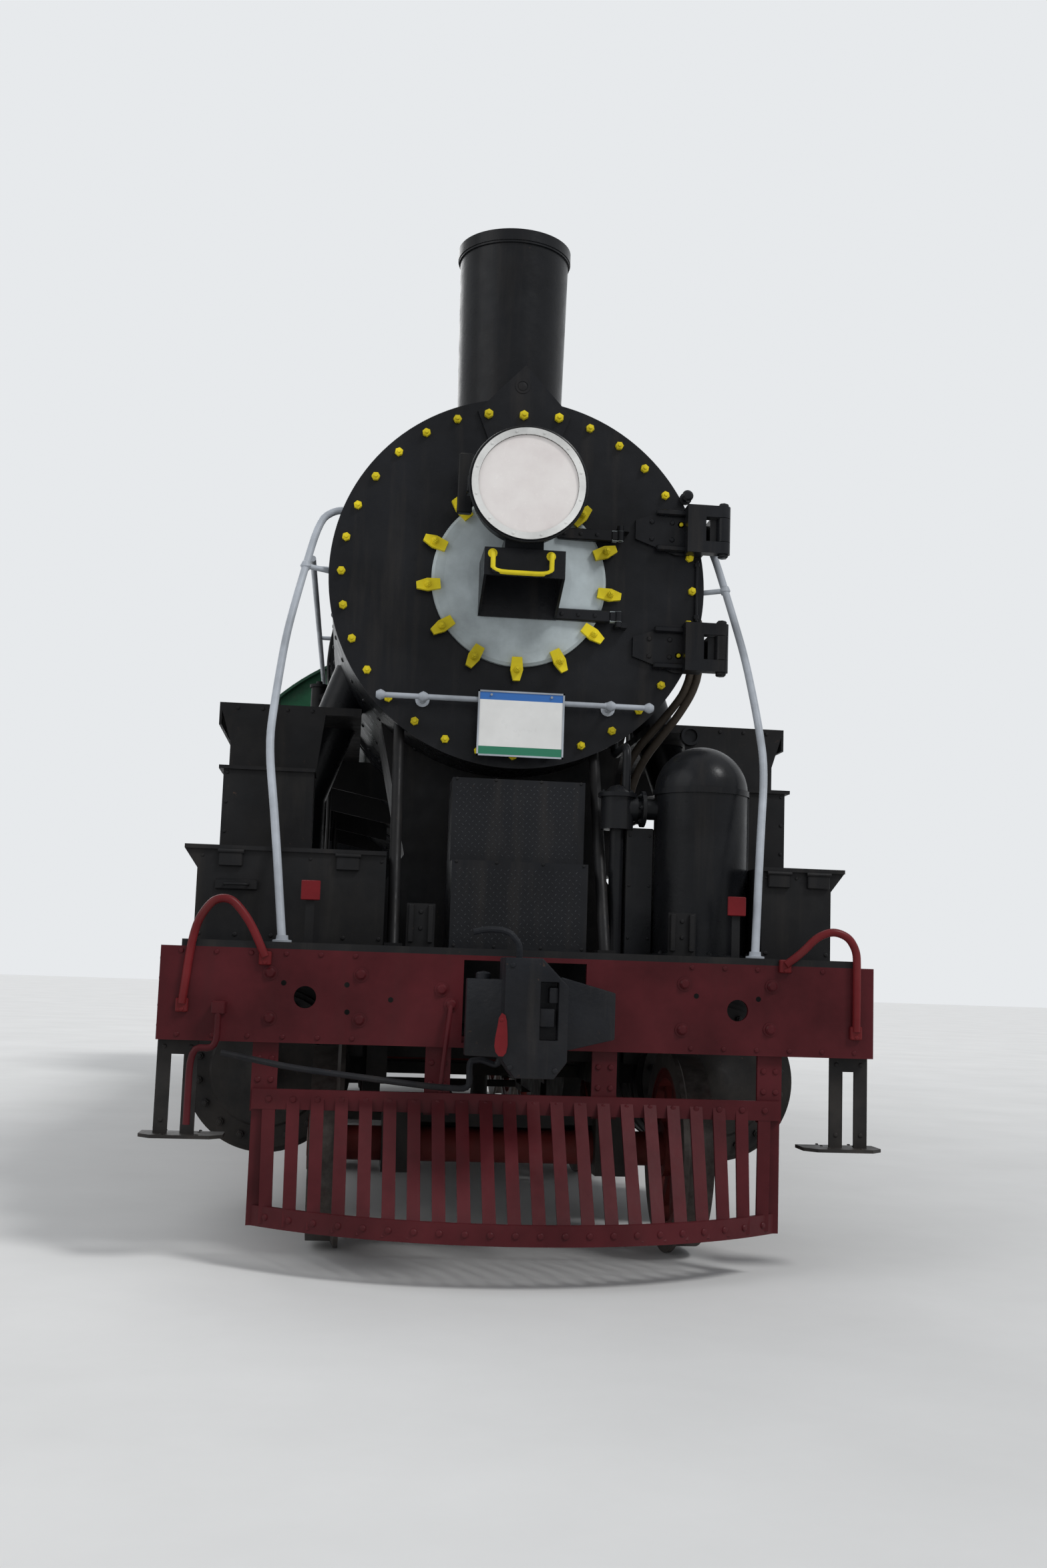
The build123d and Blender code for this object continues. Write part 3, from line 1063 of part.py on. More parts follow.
def cab_roof():
    """The arched roof with its gutters and a square hatch hole."""
    y0, y1 = along(CAB_FRONT - 120), along(REAR_REACH)
    sweep_deg = math.degrees(math.asin(ROOF_HALF / ROOF_R))
    outer = CenterArc((0, 0), ROOF_R, 90 - sweep_deg, 2 * sweep_deg)
    inner = CenterArc((0, 0), ROOF_R - ROOF_T, 90 - sweep_deg, 2 * sweep_deg)
    face = make_face([outer, inner, Line(outer @ 0, inner @ 0), Line(outer @ 1, inner @ 1)])
    roof = extrude(Plane(origin=(0, y1, ROOF_CENTRE_Z), x_dir=(1, 0, 0), z_dir=(0, -1, 0)) * face, y1 - y0)
    crown = ROOF_CENTRE_Z + ROOF_R
    coaming = block(-HATCH_HALF - 20, HATCH_HALF + 20, along(HATCH_FRONT - 20), along(HATCH_BACK + 20), crown - 60,
                    HATCH_Z - 0.5)
    roof += coaming - under_roof(y0, y1)
    roof -= block(-HATCH_HALF, HATCH_HALF, along(HATCH_FRONT), along(HATCH_BACK), crown - 200, crown + 100)
    for x in HATCH_HINGE_X:
        for x0, x1 in ((x - 60, x - 43), (x + 43, x + 60)):
            roof += bar((x0, HATCH_PIN_Y, HATCH_PIN_Z), (x1, HATCH_PIN_Y, HATCH_PIN_Z), 12)
            foot = block(x0, x1, HATCH_PIN_Y - 12, HATCH_PIN_Y + 12, crown - 60, HATCH_PIN_Z)
            roof += foot - under_roof(y0, y1)
        roof += bar((x - 60, HATCH_PIN_Y, HATCH_PIN_Z), (x + 60, HATCH_PIN_Y, HATCH_PIN_Z), HATCH_PIN_R)
    return roof


HATCH_HALF = 330
HATCH_FRONT = 10300
HATCH_BACK = 10960
HATCH_LIP = 40
HATCH_Z = ROOF_CENTRE_Z + ROOF_R + 6
HATCH_HINGE_X = (-220, 220)
HATCH_PIN_Y = along(HATCH_FRONT) - HATCH_LIP - 12
HATCH_PIN_Z = HATCH_Z + 12
HATCH_PIN_R = 5


def roof_hatch():
    """The ventilator lid over the roof hole, hinged along its front edge."""
    y0, y1 = along(HATCH_FRONT), along(HATCH_BACK)
    lid = block(-HATCH_HALF - HATCH_LIP, HATCH_HALF + HATCH_LIP, y0 - HATCH_LIP, y1 + HATCH_LIP, HATCH_Z, HATCH_Z + 20)
    for x in HATCH_HINGE_X:
        lid -= block(x - 68, x + 68, y0 - HATCH_LIP, y0 - HATCH_LIP + 22, HATCH_Z, HATCH_Z + 20)
        lid += bar((x - 40, HATCH_PIN_Y, HATCH_PIN_Z), (x + 40, HATCH_PIN_Y, HATCH_PIN_Z), 12)
        lid += block(x - 40, x + 40, HATCH_PIN_Y, y0 - HATCH_LIP + 30, HATCH_PIN_Z - 8, HATCH_Z + 20)
        lid -= bar((x - 50, HATCH_PIN_Y, HATCH_PIN_Z), (x + 50, HATCH_PIN_Y, HATCH_PIN_Z), HATCH_PIN_R + RUN_GAP)
    return lid


def cab_floor():
    """The cab floor with a cut for the firebox, on two bearers over the frame."""
    y0, y1 = along(CAB_FRONT) + 16, along(CAB_REAR)
    floor = block(-CAB_HALF + CAB_WALL, CAB_HALF - CAB_WALL, y0, y1, CAB_FLOOR_Z - 40, CAB_FLOOR_Z)
    floor -= block(-FIREBOX_HALF - 5, FIREBOX_HALF + 5, y0 - 1, along(FIREBOX_END) + 5, CAB_FLOOR_Z - 50,
                   CAB_FLOOR_Z + 10)
    for x in (-600, 600):
        floor += block(x - 40, x + 40, along(FIREBOX_END + 60), along(CAB_REAR), FRAME_TOP, CAB_FLOOR_Z - 40)
    floor += block(-CAB_HALF, CAB_HALF, along(CAB_REAR - 60), along(CAB_REAR), CAB_FLOOR_Z - 240, CAB_FLOOR_Z - 40)
    return floor


def cab_steps():
    """The hanging ladder steps below each cab doorway, with the doorway's grab rail."""
    y0, y1 = along(CAB_REAR - 300), along(CAB_REAR - 70)
    ladder = Part()
    for y in (y0, y1 - 12):
        ladder += block(1440, 1500, y, y + 12, RAIL + 520, CAB_FLOOR_Z - 40)
    for z in (520, 860, 1200):
        ladder += block(1380, CAB_HALF, y0, y1, RAIL + z, RAIL + z + 14)
    ladder += bar((CAB_HALF + 25, along(CAB_REAR - 380), CAB_FLOOR_Z), (CAB_HALF + 25, along(CAB_REAR - 380),
                                                                       RAIL + 3300), 14)
    for z in (CAB_FLOOR_Z + 20, RAIL + 3280):
        ladder += bar((CAB_HALF, along(CAB_REAR - 380), z), (CAB_HALF + 25, along(CAB_REAR - 380), z), 12)
    return both_sides(ladder)


def backhead_fittings():
    """The firehole door, regulator quadrant, gauge glass and pipes on the sloped backhead."""
    y = along(FIREBOX_END)
    pieces = block(-230, 230, y - 40, y + 30, CAB_FLOOR_Z + 260, CAB_FLOOR_Z + 640)
    pieces += bar((0, y - 140, RAIL + 3250), (0, y - 20, RAIL + 3250), 60)
    pieces += block(-30, 420, y - 50, y - 20, RAIL + 3230, RAIL + 3270)
    for x in (-430, 470):
        pieces += bar((x, y - 160, RAIL + 2900), (x, y + 10, RAIL + 2900), 28)
        pieces += bar((x, y - 10, RAIL + 2880), (x, y - 10, RAIL + 3180), 18)
    return pieces - BOILER


def cab_seats():
    """A bench box with a pad on each side of the cab."""
    seat = block(CAB_HALF - CAB_WALL - 400, CAB_HALF - CAB_WALL, along(10700), along(11200), CAB_FLOOR_Z,
                 CAB_FLOOR_Z + 480)
    return both_sides(seat)


def rear_beam():
    """The drag beam behind the cab with its drawbar jaws and vertical pin hole."""
    y1 = along(CAB_REAR)
    beam = block(-1250, 1250, y1 - 150, y1, RAIL + 850, FRAME_TOP)
    for z0, z1 in ((RAIL + 880, RAIL + 930), (RAIL + 1070, RAIL + 1120)):
        beam += block(-220, 220, y1, y1 + 190, z0, z1)
    beam -= Pos(0, y1 + 110, RAIL + 1000) * Cylinder(DRAW_PIN_R, 400)
    return beam


DRAW_PIN_R = 42


def cab_glass():
    """The window panes, standing in the middle of their walls."""
    panes = Part()
    x = CAB_HALF - CAB_WALL / 2
    for front, back in WINDOWS:
        panes += both_sides(block(x - 3, x + 3, along(front), along(back), *WINDOW_Z))
    for side in (-1, 1):
        panes += block(side * 1110, side * 1430, along(CAB_FRONT) + 5, along(CAB_FRONT) + 11, RAIL + 2960, RAIL + 3600)
    return panes


os.makedirs("parts", exist_ok=True)
BOILER = boiler_envelope()

for n in range(1, DRIVER_COUNT + 1):
    save(f"driving_wheelset_{n}", driving_wheelset(n))
save("pony_wheelset", pony_wheelset())
save("pony_truck", pony_truck())
save("coupling_rod_right", coupling_rod(RIGHT_CRANK_DEG, ROD_X))
save("coupling_rod_left", coupling_rod(LEFT_CRANK_DEG, -ROD_X - ROD_T))

right_stroke = (CROSSHEAD_STATIONS["right"], RIGHT_CRANK_DEG)
left_stroke = (CROSSHEAD_STATIONS["left"], LEFT_CRANK_DEG)
save("crossheads", crosshead(right_stroke[0]) + other_side(crosshead(left_stroke[0])))
save("main_rods", main_rod(*right_stroke) + other_side(main_rod(*left_stroke)))
save("valve_gear", valve_gear(*right_stroke) + other_side(valve_gear(*left_stroke)))

save("cylinders", both_sides(cylinder_block()) + saddle())
save("slide_bars", both_sides(slide_bars()))
save("steam_pipes", steam_pipes())

save("main_frame", main_frame())
save("suspension", axleboxes() + leaf_springs())
save("front_beam", front_beam())
save("coupler", coupler())
save("pilot", pilot())
save("front_deck", front_deck())
save("front_steps", front_steps())
save("foot_stirrups", foot_stirrups())
save("hoop_handrails", hoop_handrails())
save("pipe_handrails", pipe_handrails())
save("uncoupling_lever", uncoupling_lever())
save("front_boxes", tool_boxes() + board_steps())
save("front_tank", front_tank())
save("lamp_posts", lamp_posts())
save("rear_beam", rear_beam())

save("smokebox", smokebox())
save("smokebox_braces", smokebox_braces())
save("front_plate", front_plate())
save("front_handrail", front_handrail())
save("info_board", info_board())
save("inner_door", inner_door())
save("door_clamps", door_clamps())
save("headlamp", headlamp())
save("lamp_bracket", lamp_bracket())
save("lamp_glass", lamp_glass())

save("boiler_barrel", boiler_barrel())
save("firebox", firebox())
save("ashpan", ashpan())
save("chimney", chimney())
save("boiler_domes", boiler_domes())
save("boiler_fittings", boiler_fittings())
save("boiler_rails", boiler_rails())
save("running_boards", both_sides(running_board()))
save("air_reservoirs", air_reservoirs())

save("cab_front", cab_front())
save("cab_sides", both_sides(cab_side()))
save("cab_roof", cab_roof())
save("roof_hatch", roof_hatch())
save("cab_floor", cab_floor())
save("cab_steps", cab_steps())
save("cab_seats", cab_seats())
save("cab_glass", cab_glass())
save("backhead_fittings", backhead_fittings())
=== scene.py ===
import itertools
import json
import math

import bmesh
import bpy
from mathutils import Matrix, Vector


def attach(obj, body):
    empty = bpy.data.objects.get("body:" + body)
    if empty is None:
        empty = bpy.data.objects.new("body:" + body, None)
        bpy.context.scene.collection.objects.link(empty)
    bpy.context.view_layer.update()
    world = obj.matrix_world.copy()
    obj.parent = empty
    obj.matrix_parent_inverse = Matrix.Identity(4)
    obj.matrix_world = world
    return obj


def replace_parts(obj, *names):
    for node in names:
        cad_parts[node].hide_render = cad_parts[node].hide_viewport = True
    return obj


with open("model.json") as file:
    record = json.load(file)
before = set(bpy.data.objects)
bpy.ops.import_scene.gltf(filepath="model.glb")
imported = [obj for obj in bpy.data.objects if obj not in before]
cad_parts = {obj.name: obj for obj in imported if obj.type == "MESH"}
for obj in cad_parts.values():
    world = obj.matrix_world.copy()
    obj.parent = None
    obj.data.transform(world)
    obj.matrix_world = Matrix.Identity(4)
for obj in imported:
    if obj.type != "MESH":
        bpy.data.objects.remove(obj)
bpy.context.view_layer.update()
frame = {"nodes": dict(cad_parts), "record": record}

# Driving places of the model, in metres. Stations run back from the front beam's face, heights up from the rail.
BEAM_Y, BEAM_HALF = -5.700, 1.482
RAIL = 0.028
DECK, BOARD = 1.280, 2.450
BOILER, BOILER_Z = 3.053, RAIL + 3.053
PLATE = 0.845
SMOKEBOX_R, BARREL_R, FIREBOX_R = 0.895, 0.915, 0.985
FIREBOX_HALF, FIREBOX_FOOT = 1.075, 1.500
CAB_FRONT, CAB_HALF = 9.300, 1.530
ROOF_R, ROOF_CENTRE = 2.290, 2.180
CYL_STATION, CYL_X, CYL, CYL_HALF = 1.700, 1.090, 0.690, 0.520
VALVE_X, VALVE = 1.020, 1.420
LAMP_STATION, LAMP_X, LAMP = 0.400, -0.012, 3.400
FIRST_DRIVER, DRIVER_PITCH, DRIVER_R = 3.410, 1.4225, 0.660
DRIVERS = [FIRST_DRIVER + DRIVER_PITCH * n for n in range(5)]
PONY_AXLE, PONY_R = 0.620, 0.420
CRANK_R = 0.3555
TUBE_PLATE = 2.672

SIDES = (-1, 1)
FORWARD, REARWARD, UPWARD = (0, -1, 0), (0, 1, 0), (0, 0, 1)


def at(x, station, height):
    """A place from its X, its distance behind the beam's face and its height above the rail."""
    return x, BEAM_Y + station, RAIL + height


def around(centre, radius, degrees, plane="zx"):
    """A place on a circle, turned from the plane's first axis towards its second: "zx" starts at the top."""
    place = list(centre)
    place["xyz".index(plane[0])] += radius * math.cos(math.radians(degrees))
    place["xyz".index(plane[1])] += radius * math.sin(math.radians(degrees))
    return tuple(place)


def round_boiler(radius, station, degrees):
    """A place round the boiler's centre line, and the direction out from it."""
    x, y, z = around(at(0, station, BOILER), radius, degrees)
    return (x, y, z), (x, 0, z - BOILER_Z)


def steps(first, step, count):
    """Evenly spaced values."""
    return [first + step * i for i in range(count)]


def shown(name, data):
    """A new object of the scene."""
    item = bpy.data.objects.new(name, data)
    bpy.context.scene.collection.objects.link(item)
    return item


# Camera, solved from the photograph's beam, smokebox plate, lamp and chimney.
CAMERA_PLACE = (-0.7271, -12.148, 1.2175)
CAMERA_YAW, CAMERA_PITCH, CAMERA_ROLL = 6.13, 6.88, 1.91
FOCAL_PX, PHOTO_HEIGHT = 2336.8, 2349
SENSOR_MM = 36.0


def photo_camera():
    """The camera at the photograph's place, turn and focal length."""
    data = bpy.data.cameras.new("photo_camera")
    data.sensor_fit = "VERTICAL"
    data.sensor_height = SENSOR_MM
    data.lens = SENSOR_MM * FOCAL_PX / PHOTO_HEIGHT
    data.clip_end = 500
    camera = shown("photo_camera", data)
    yaw, pitch, roll = (math.radians(a) for a in (CAMERA_YAW, 90 + CAMERA_PITCH, CAMERA_ROLL))
    camera.matrix_world = (Matrix.Translation(CAMERA_PLACE) @ Matrix.Rotation(-yaw, 4, "Z")
                           @ Matrix.Rotation(pitch, 4, "X") @ Matrix.Rotation(roll, 4, "Z"))
    bpy.context.scene.camera = camera


# Materials.

MIX_A, MIX_B, MIX_RESULT = 6, 7, 2      # the colour sockets of a Mix node


class Nodes:
    """A node tree with short calls for the nodes that are used here."""

    def __init__(self, tree):
        self.nodes, self.links = tree.nodes, tree.links

    def put(self, value, socket):
        """A link where the value is a socket, and otherwise the socket's own number, vector or colour."""
        if isinstance(value, bpy.types.NodeSocket):
            self.links.new(value, socket)
        else:
            socket.default_value = (*value, 1) if isinstance(value, tuple) else value

    def node(self, kind, inputs, output, **settings):
        """One output of a new node with these inputs and settings."""
        node = self.nodes.new("ShaderNode" + kind)
        for name, value in settings.items():
            setattr(node, name, value)
        for key, value in inputs.items():
            self.put(value, node.inputs[key])
        return node.outputs[output]

    def math(self, operation, *values):
        """A sum of sockets and numbers."""
        return self.node("Math", dict(enumerate(values)), "Value", operation=operation)


class Paint(Nodes):
    """A new node material that is laid out on object coordinates."""

    def __init__(self, name):
        self.material = bpy.data.materials.new(name)
        self.material.use_nodes = True
        super().__init__(self.material.node_tree)
        self.place = self.nodes.new("ShaderNodeTexCoord").outputs["Object"]

    def axis(self, letter):
        """One object coordinate, in metres."""
        return self.node("SeparateXYZ", {"Vector": self.place}, letter)

    def noise(self, scale, detail=6.0, stretch=(1, 1, 1), roughness=0.6):
        """Noise with its own stretch along each axis."""
        stretched = self.node("Mapping", {"Vector": self.place, "Scale": Vector(stretch)}, "Vector")
        return self.node("TexNoise", {"Vector": stretched, "Scale": scale, "Detail": detail,
                                      "Roughness": roughness}, "Fac")

    def ramp(self, value, low, high, to_low=0.0, to_high=1.0):
        """A value remapped and clamped from one range to another."""
        return self.node("MapRange", {"Value": value, "From Min": low, "From Max": high, "To Min": to_low,
                                      "To Max": to_high}, "Result")

    def clouds(self, scale, detail, low=0.3, high=0.7, to_low=0.0, to_high=1.0):
        """Unstretched noise, remapped."""
        return self.ramp(self.noise(scale, detail), low, high, to_low, to_high)

    def mix(self, factor, first, second):
        """A mix of two colours, each a socket or a triple."""
        return self.node("Mix", {"Factor": factor, MIX_A: first, MIX_B: second}, MIX_RESULT, data_type="RGBA")

    def bump(self, height, strength, distance, **under):
        """A bumped normal, laid over another one where it is given."""
        return self.node("Bump", {"Height": height, "Strength": strength, "Distance": distance, **under}, "Normal")

    def finished(self, inputs):
        """The material, with these inputs on its shader."""
        for name, value in inputs.items():
            self.put(value, self.nodes["Principled BSDF"].inputs[name])
        return self.material


def painted(name, colour, gloss, worn=(0.16, 0.09, 0.06), chips=0.3, dust=0.3, dust_colour=(0.20, 0.17, 0.14),
            streaks=0.35, brush=0.12, metallic=0.0, grain=(1, 1, 1), specular=0.13, zone=None):
    """Weathered paint or metal: cloudy fading, run marks, chips down to rust, dust low down and brush marks.

    A zone is a function that gives a 0 to 1 mask and the colour pair that is seen inside it.
    """
    paint = Paint(name)
    darker = tuple(c * 0.62 for c in colour)
    lighter = tuple(min(1, c * 1.30 + 0.004) for c in colour)
    base = paint.mix(paint.clouds(2.3, 8, 0.32, 0.68), darker, lighter)
    if zone:
        mask, pair = zone(paint)
        base = paint.mix(mask, base, paint.mix(paint.clouds(24.0, 8, 0.32, 0.68), *pair))
    runs = paint.ramp(paint.noise(9.0, 6, (1, 1, 0.10)), 0.54, 0.74, 0, streaks)
    base = paint.mix(runs, base, tuple(c * 0.55 + d * 0.20 for c, d in zip(colour, dust_colour)))
    low_down = paint.ramp(paint.axis("Z"), 0.05, 1.2, dust, dust * 0.16)
    powdered = paint.math("MULTIPLY", low_down, paint.clouds(5.5, 10, 0.35, 0.75, 0.25, 1.0))
    base = paint.mix(powdered, base, dust_colour)
    flecks = paint.ramp(paint.noise(34.0, 10, roughness=0.72), 0.63, 0.68)
    chipped = paint.math("MULTIPLY", paint.math("MULTIPLY", flecks, paint.clouds(3.1, 5, 0.48, 0.62)), chips)
    rough = paint.ramp(paint.noise(12.0, 8, grain), 0.3, 0.7, gloss * 0.78, gloss * 1.35)
    brushed = paint.bump(paint.math("SUBTRACT", paint.noise(46.0, 6, grain), chipped), brush, 0.004)
    return paint.finished({
        "Base Color": paint.mix(chipped, base, worn), "Metallic": metallic, "Specular IOR Level": specular,
        "Roughness": paint.math("MULTIPLY_ADD", powdered, 0.5, rough),
        "Normal": paint.bump(paint.noise(4.0, 3), 0.10, 0.02, Normal=brushed)})


def tyre_zone(first, pitch, radius, inner):
    """Worn steel everywhere further than the inner radius from the nearest of a row of axles."""
    def zone(paint):
        """The mask of the worn steel, and its colours."""
        behind = paint.math("ADD", paint.axis("Y"), 20 * pitch - (BEAM_Y + first))
        from_axle = paint.node("CombineXYZ", {"X": paint.math("PINGPONG", behind, pitch / 2),
                                              "Y": paint.math("ADD", paint.axis("Z"), -(RAIL + radius))}, "Vector")
        reach = paint.node("VectorMath", {0: from_axle}, "Value", operation="LENGTH")
        return paint.ramp(reach, inner, inner + 0.003), ((0.040, 0.036, 0.034), (0.095, 0.088, 0.082))
    return zone


def frosted_glass(name):
    """The lamp's pale frosted lens with a faint pink cloud and fine ribs."""
    paint = Paint(name)
    return paint.finished({
        "Base Color": paint.mix(paint.clouds(3.4, 6, 0.35, 0.65), (0.74, 0.68, 0.66), (0.86, 0.82, 0.79)),
        "Roughness": paint.clouds(30.0, 4, to_low=0.16, to_high=0.30), "Coat Weight": 0.6, "Coat Roughness": 0.08,
        "Normal": paint.bump(paint.noise(60.0, 3), 0.08, 0.002)})


def window_glass(name):
    """Thin cab glass, a little dusty."""
    paint = Paint(name)
    dusty = paint.clouds(7.0, 8, 0.4, 0.8, 0.03, 0.35)
    return paint.finished({"Base Color": paint.mix(dusty, (0.75, 0.84, 0.84), (0.45, 0.44, 0.40)),
                           "Roughness": dusty, "Transmission Weight": 0.9, "IOR": 1.45})


def planks(name):
    """Worn floor planks that run fore and aft, with grain and dark joints."""
    paint = Paint(name)
    grain = paint.ramp(paint.noise(16.0, 10, (3, 0.25, 1)), 0.3, 0.7)
    wood = paint.mix(grain, (0.13, 0.085, 0.05), (0.30, 0.22, 0.14))
    joint = paint.ramp(paint.math("PINGPONG", paint.axis("X"), 0.075), 0.0, 0.005, 1, 0)
    return paint.finished({"Base Color": paint.mix(joint, wood, (0.02, 0.015, 0.01)),
                           "Roughness": paint.ramp(grain, 0, 1, 0.6, 0.85), "Normal": paint.bump(grain, 0.4, 0.004)})


BLUE_ABOVE, GREEN_BELOW, BAND_EDGE = 2.452, 2.232, 0.0005


def banded_board(name):
    """The blank board: white enamel with a blue band on top and a green one below."""
    paint = Paint(name)
    white = paint.mix(paint.clouds(6.0, 8), (0.72, 0.72, 0.70), (0.82, 0.82, 0.80))
    blue = paint.ramp(paint.axis("Z"), RAIL + BLUE_ABOVE, RAIL + BLUE_ABOVE + BAND_EDGE)
    green = paint.ramp(paint.axis("Z"), RAIL + GREEN_BELOW - BAND_EDGE, RAIL + GREEN_BELOW, 1, 0)
    return paint.finished({
        "Base Color": paint.mix(green, paint.mix(blue, white, (0.02, 0.13, 0.42)), (0.01, 0.17, 0.09)),
        "Roughness": paint.clouds(14.0, 6, to_low=0.25, to_high=0.45),
        "Normal": paint.bump(paint.noise(20.0, 4), 0.06, 0.003)})


DRIVER_TYRE, PONY_TYRE = 0.591, 0.359       # inner radii of the worn tyres
ONE_AXLE_PITCH = 40.0       # longer than the engine, for a row of one axle
WHEEL_RED = {"colour": (0.105, 0.009, 0.009), "gloss": 0.45, "chips": 0.5, "dust": 0.36,
             "dust_colour": (0.11, 0.070, 0.050), "streaks": 0.3}
PAINTS = {      # the colour and gloss of each slot's paint or metal, and what differs from the usual wear
    "black_paint": ((0.0060, 0.0065, 0.0078), 0.42, dict(dust=0.26, streaks=0.3)),
    "boiler_black": ((0.0058, 0.0066, 0.0084), 0.28, dict(chips=0.10, dust=0.10, streaks=0.25, brush=0.16)),
    "plate_black": ((0.0066, 0.0074, 0.0095), 0.30, dict(chips=0.08, dust=0.10, brush=0.22)),
    # red_paint: a deep red, made darker than the paint's own colour as painted shade.
    "red_paint": ((0.064, 0.0058, 0.0088), 0.36, dict(worn=(0.045, 0.016, 0.013), chips=0.75, dust=0.20,
                                                      dust_colour=(0.085, 0.034, 0.034), streaks=0.45)),
    "hoop_red": ((0.125, 0.0085, 0.0110), 0.33, dict(worn=(0.08, 0.03, 0.02), chips=0.6, dust=0.1)),
    "rod_steel": ((0.30, 0.29, 0.28), 0.34, dict(chips=0.4, dust=0.25, metallic=0.85, grain=(1, 0.12, 1))),
    "tyre_steel": ((0.20, 0.19, 0.18), 0.40, dict(chips=0.6, metallic=0.8)),
    "rail_grey": ((0.40, 0.43, 0.47), 0.36, dict(worn=(0.10, 0.09, 0.08), chips=0.5, dust=0.1)),
    "door_grey": ((0.440, 0.495, 0.510), 0.34, dict(chips=0.15, dust=0.05, streaks=0.15)),
    "clamp_yellow": ((0.74, 0.60, 0.020), 0.36, dict(worn=(0.12, 0.10, 0.05), chips=0.7, dust=0.1)),
    "lamp_shell": ((0.0065, 0.0075, 0.0090), 0.28, dict(chips=0.2, dust=0.1)),
    "cab_green": ((0.012, 0.085, 0.040), 0.30, dict(dust=0.2, streaks=0.4)),
    "roof_dark": ((0.014, 0.054, 0.032), 0.50, dict(dust=0.2)),
    "coupler_iron": ((0.0065, 0.0078, 0.0110), 0.38, dict(chips=0.6, dust=0.14, brush=0.6)),
}
MATERIALS = {name: painted(name, colour, gloss, **wear) for name, (colour, gloss, wear) in PAINTS.items()}
MATERIALS["wheel_red"] = painted("wheel_red", **WHEEL_RED,
                                 zone=tyre_zone(FIRST_DRIVER, DRIVER_PITCH, DRIVER_R, DRIVER_TYRE))
for slot, make in (("lamp_lens", frosted_glass), ("board_white", banded_board), ("window_glass", window_glass),
                   ("floor_wood", planks)):
    MATERIALS[slot] = make(slot)
MARKER_RED = painted("marker_red", (0.170, 0.010, 0.014), 0.38, dust=0.05)
LAMP_WHITE = painted("lamp_white", (0.68, 0.68, 0.66), 0.34, dust=0.05, streaks=0.15)
# Painted shade: a near-black material for thin discs that stand for the dark inside of holes and flues.
HOLE_SHADE = painted("painted_hole_shade", (0.003, 0.003, 0.003), 0.85, chips=0.0, dust=0.0)
LAGGING = painted("lagging", (0.040, 0.031, 0.023), 0.60, worn=(0.12, 0.09, 0.06), chips=0.4, dust=0.25, brush=0.9)
WORN_TREAD = painted("worn_tread", (0.075, 0.080, 0.086), 0.26, chips=0.5, dust=0.05, metallic=0.5, specular=0.5)
PONY_RED = painted("pony_red", **WHEEL_RED, zone=tyre_zone(PONY_AXLE, ONE_AXLE_PITCH, PONY_R, PONY_TYRE))

for row in frame["record"]["subparts"]:
    part = frame["nodes"][row["node"]]
    part.data.materials.clear()
    part.data.materials.append(MATERIALS[row["material_slot"]])
frame["nodes"]["pony_wheelset"].data.materials[0] = PONY_RED


# Small pieces, gathered into one mesh for each kind and body.

def basis(axis):
    """Two directions square to an axis, and the axis itself."""
    w = Vector(axis).normalized()
    helper = Vector((0, 0, 1)) if abs(w.z) < 0.9 else Vector((1, 0, 0))
    u = helper.cross(w).normalized()
    return u, w.cross(u), w


def listed(value):
    """The value itself if it is a row of values, and otherwise a row of one."""
    return value if isinstance(value, (list, tuple)) else (value,)


def loops(rows, count, closed=False, turned=False):
    """Quads between rows of points, each a closed loop of count; a closed set joins the last row to the first."""
    faces = []
    for row in range(rows if closed else rows - 1):
        low, high = row * count, (row + 1) % rows * count
        for k in range(count):
            k2 = (k + 1) % count
            faces.append((low + k, low + k2, high + k2, high + k) if turned
                         else (low + k, high + k, high + k2, low + k2))
    return faces


def smooth_path(points, cut, count):
    """A path with each corner rounded by a short quadratic curve."""
    out = [points[0]]
    for a, b, c in zip(points, points[1:], points[2:]):
        start, end = b.lerp(a, cut), b.lerp(c, cut)
        for k in range(count + 1):
            t = k / count
            out.append(start * (1 - t) ** 2 + b * 2 * t * (1 - t) + end * t * t)
    return [*out, points[-1]]


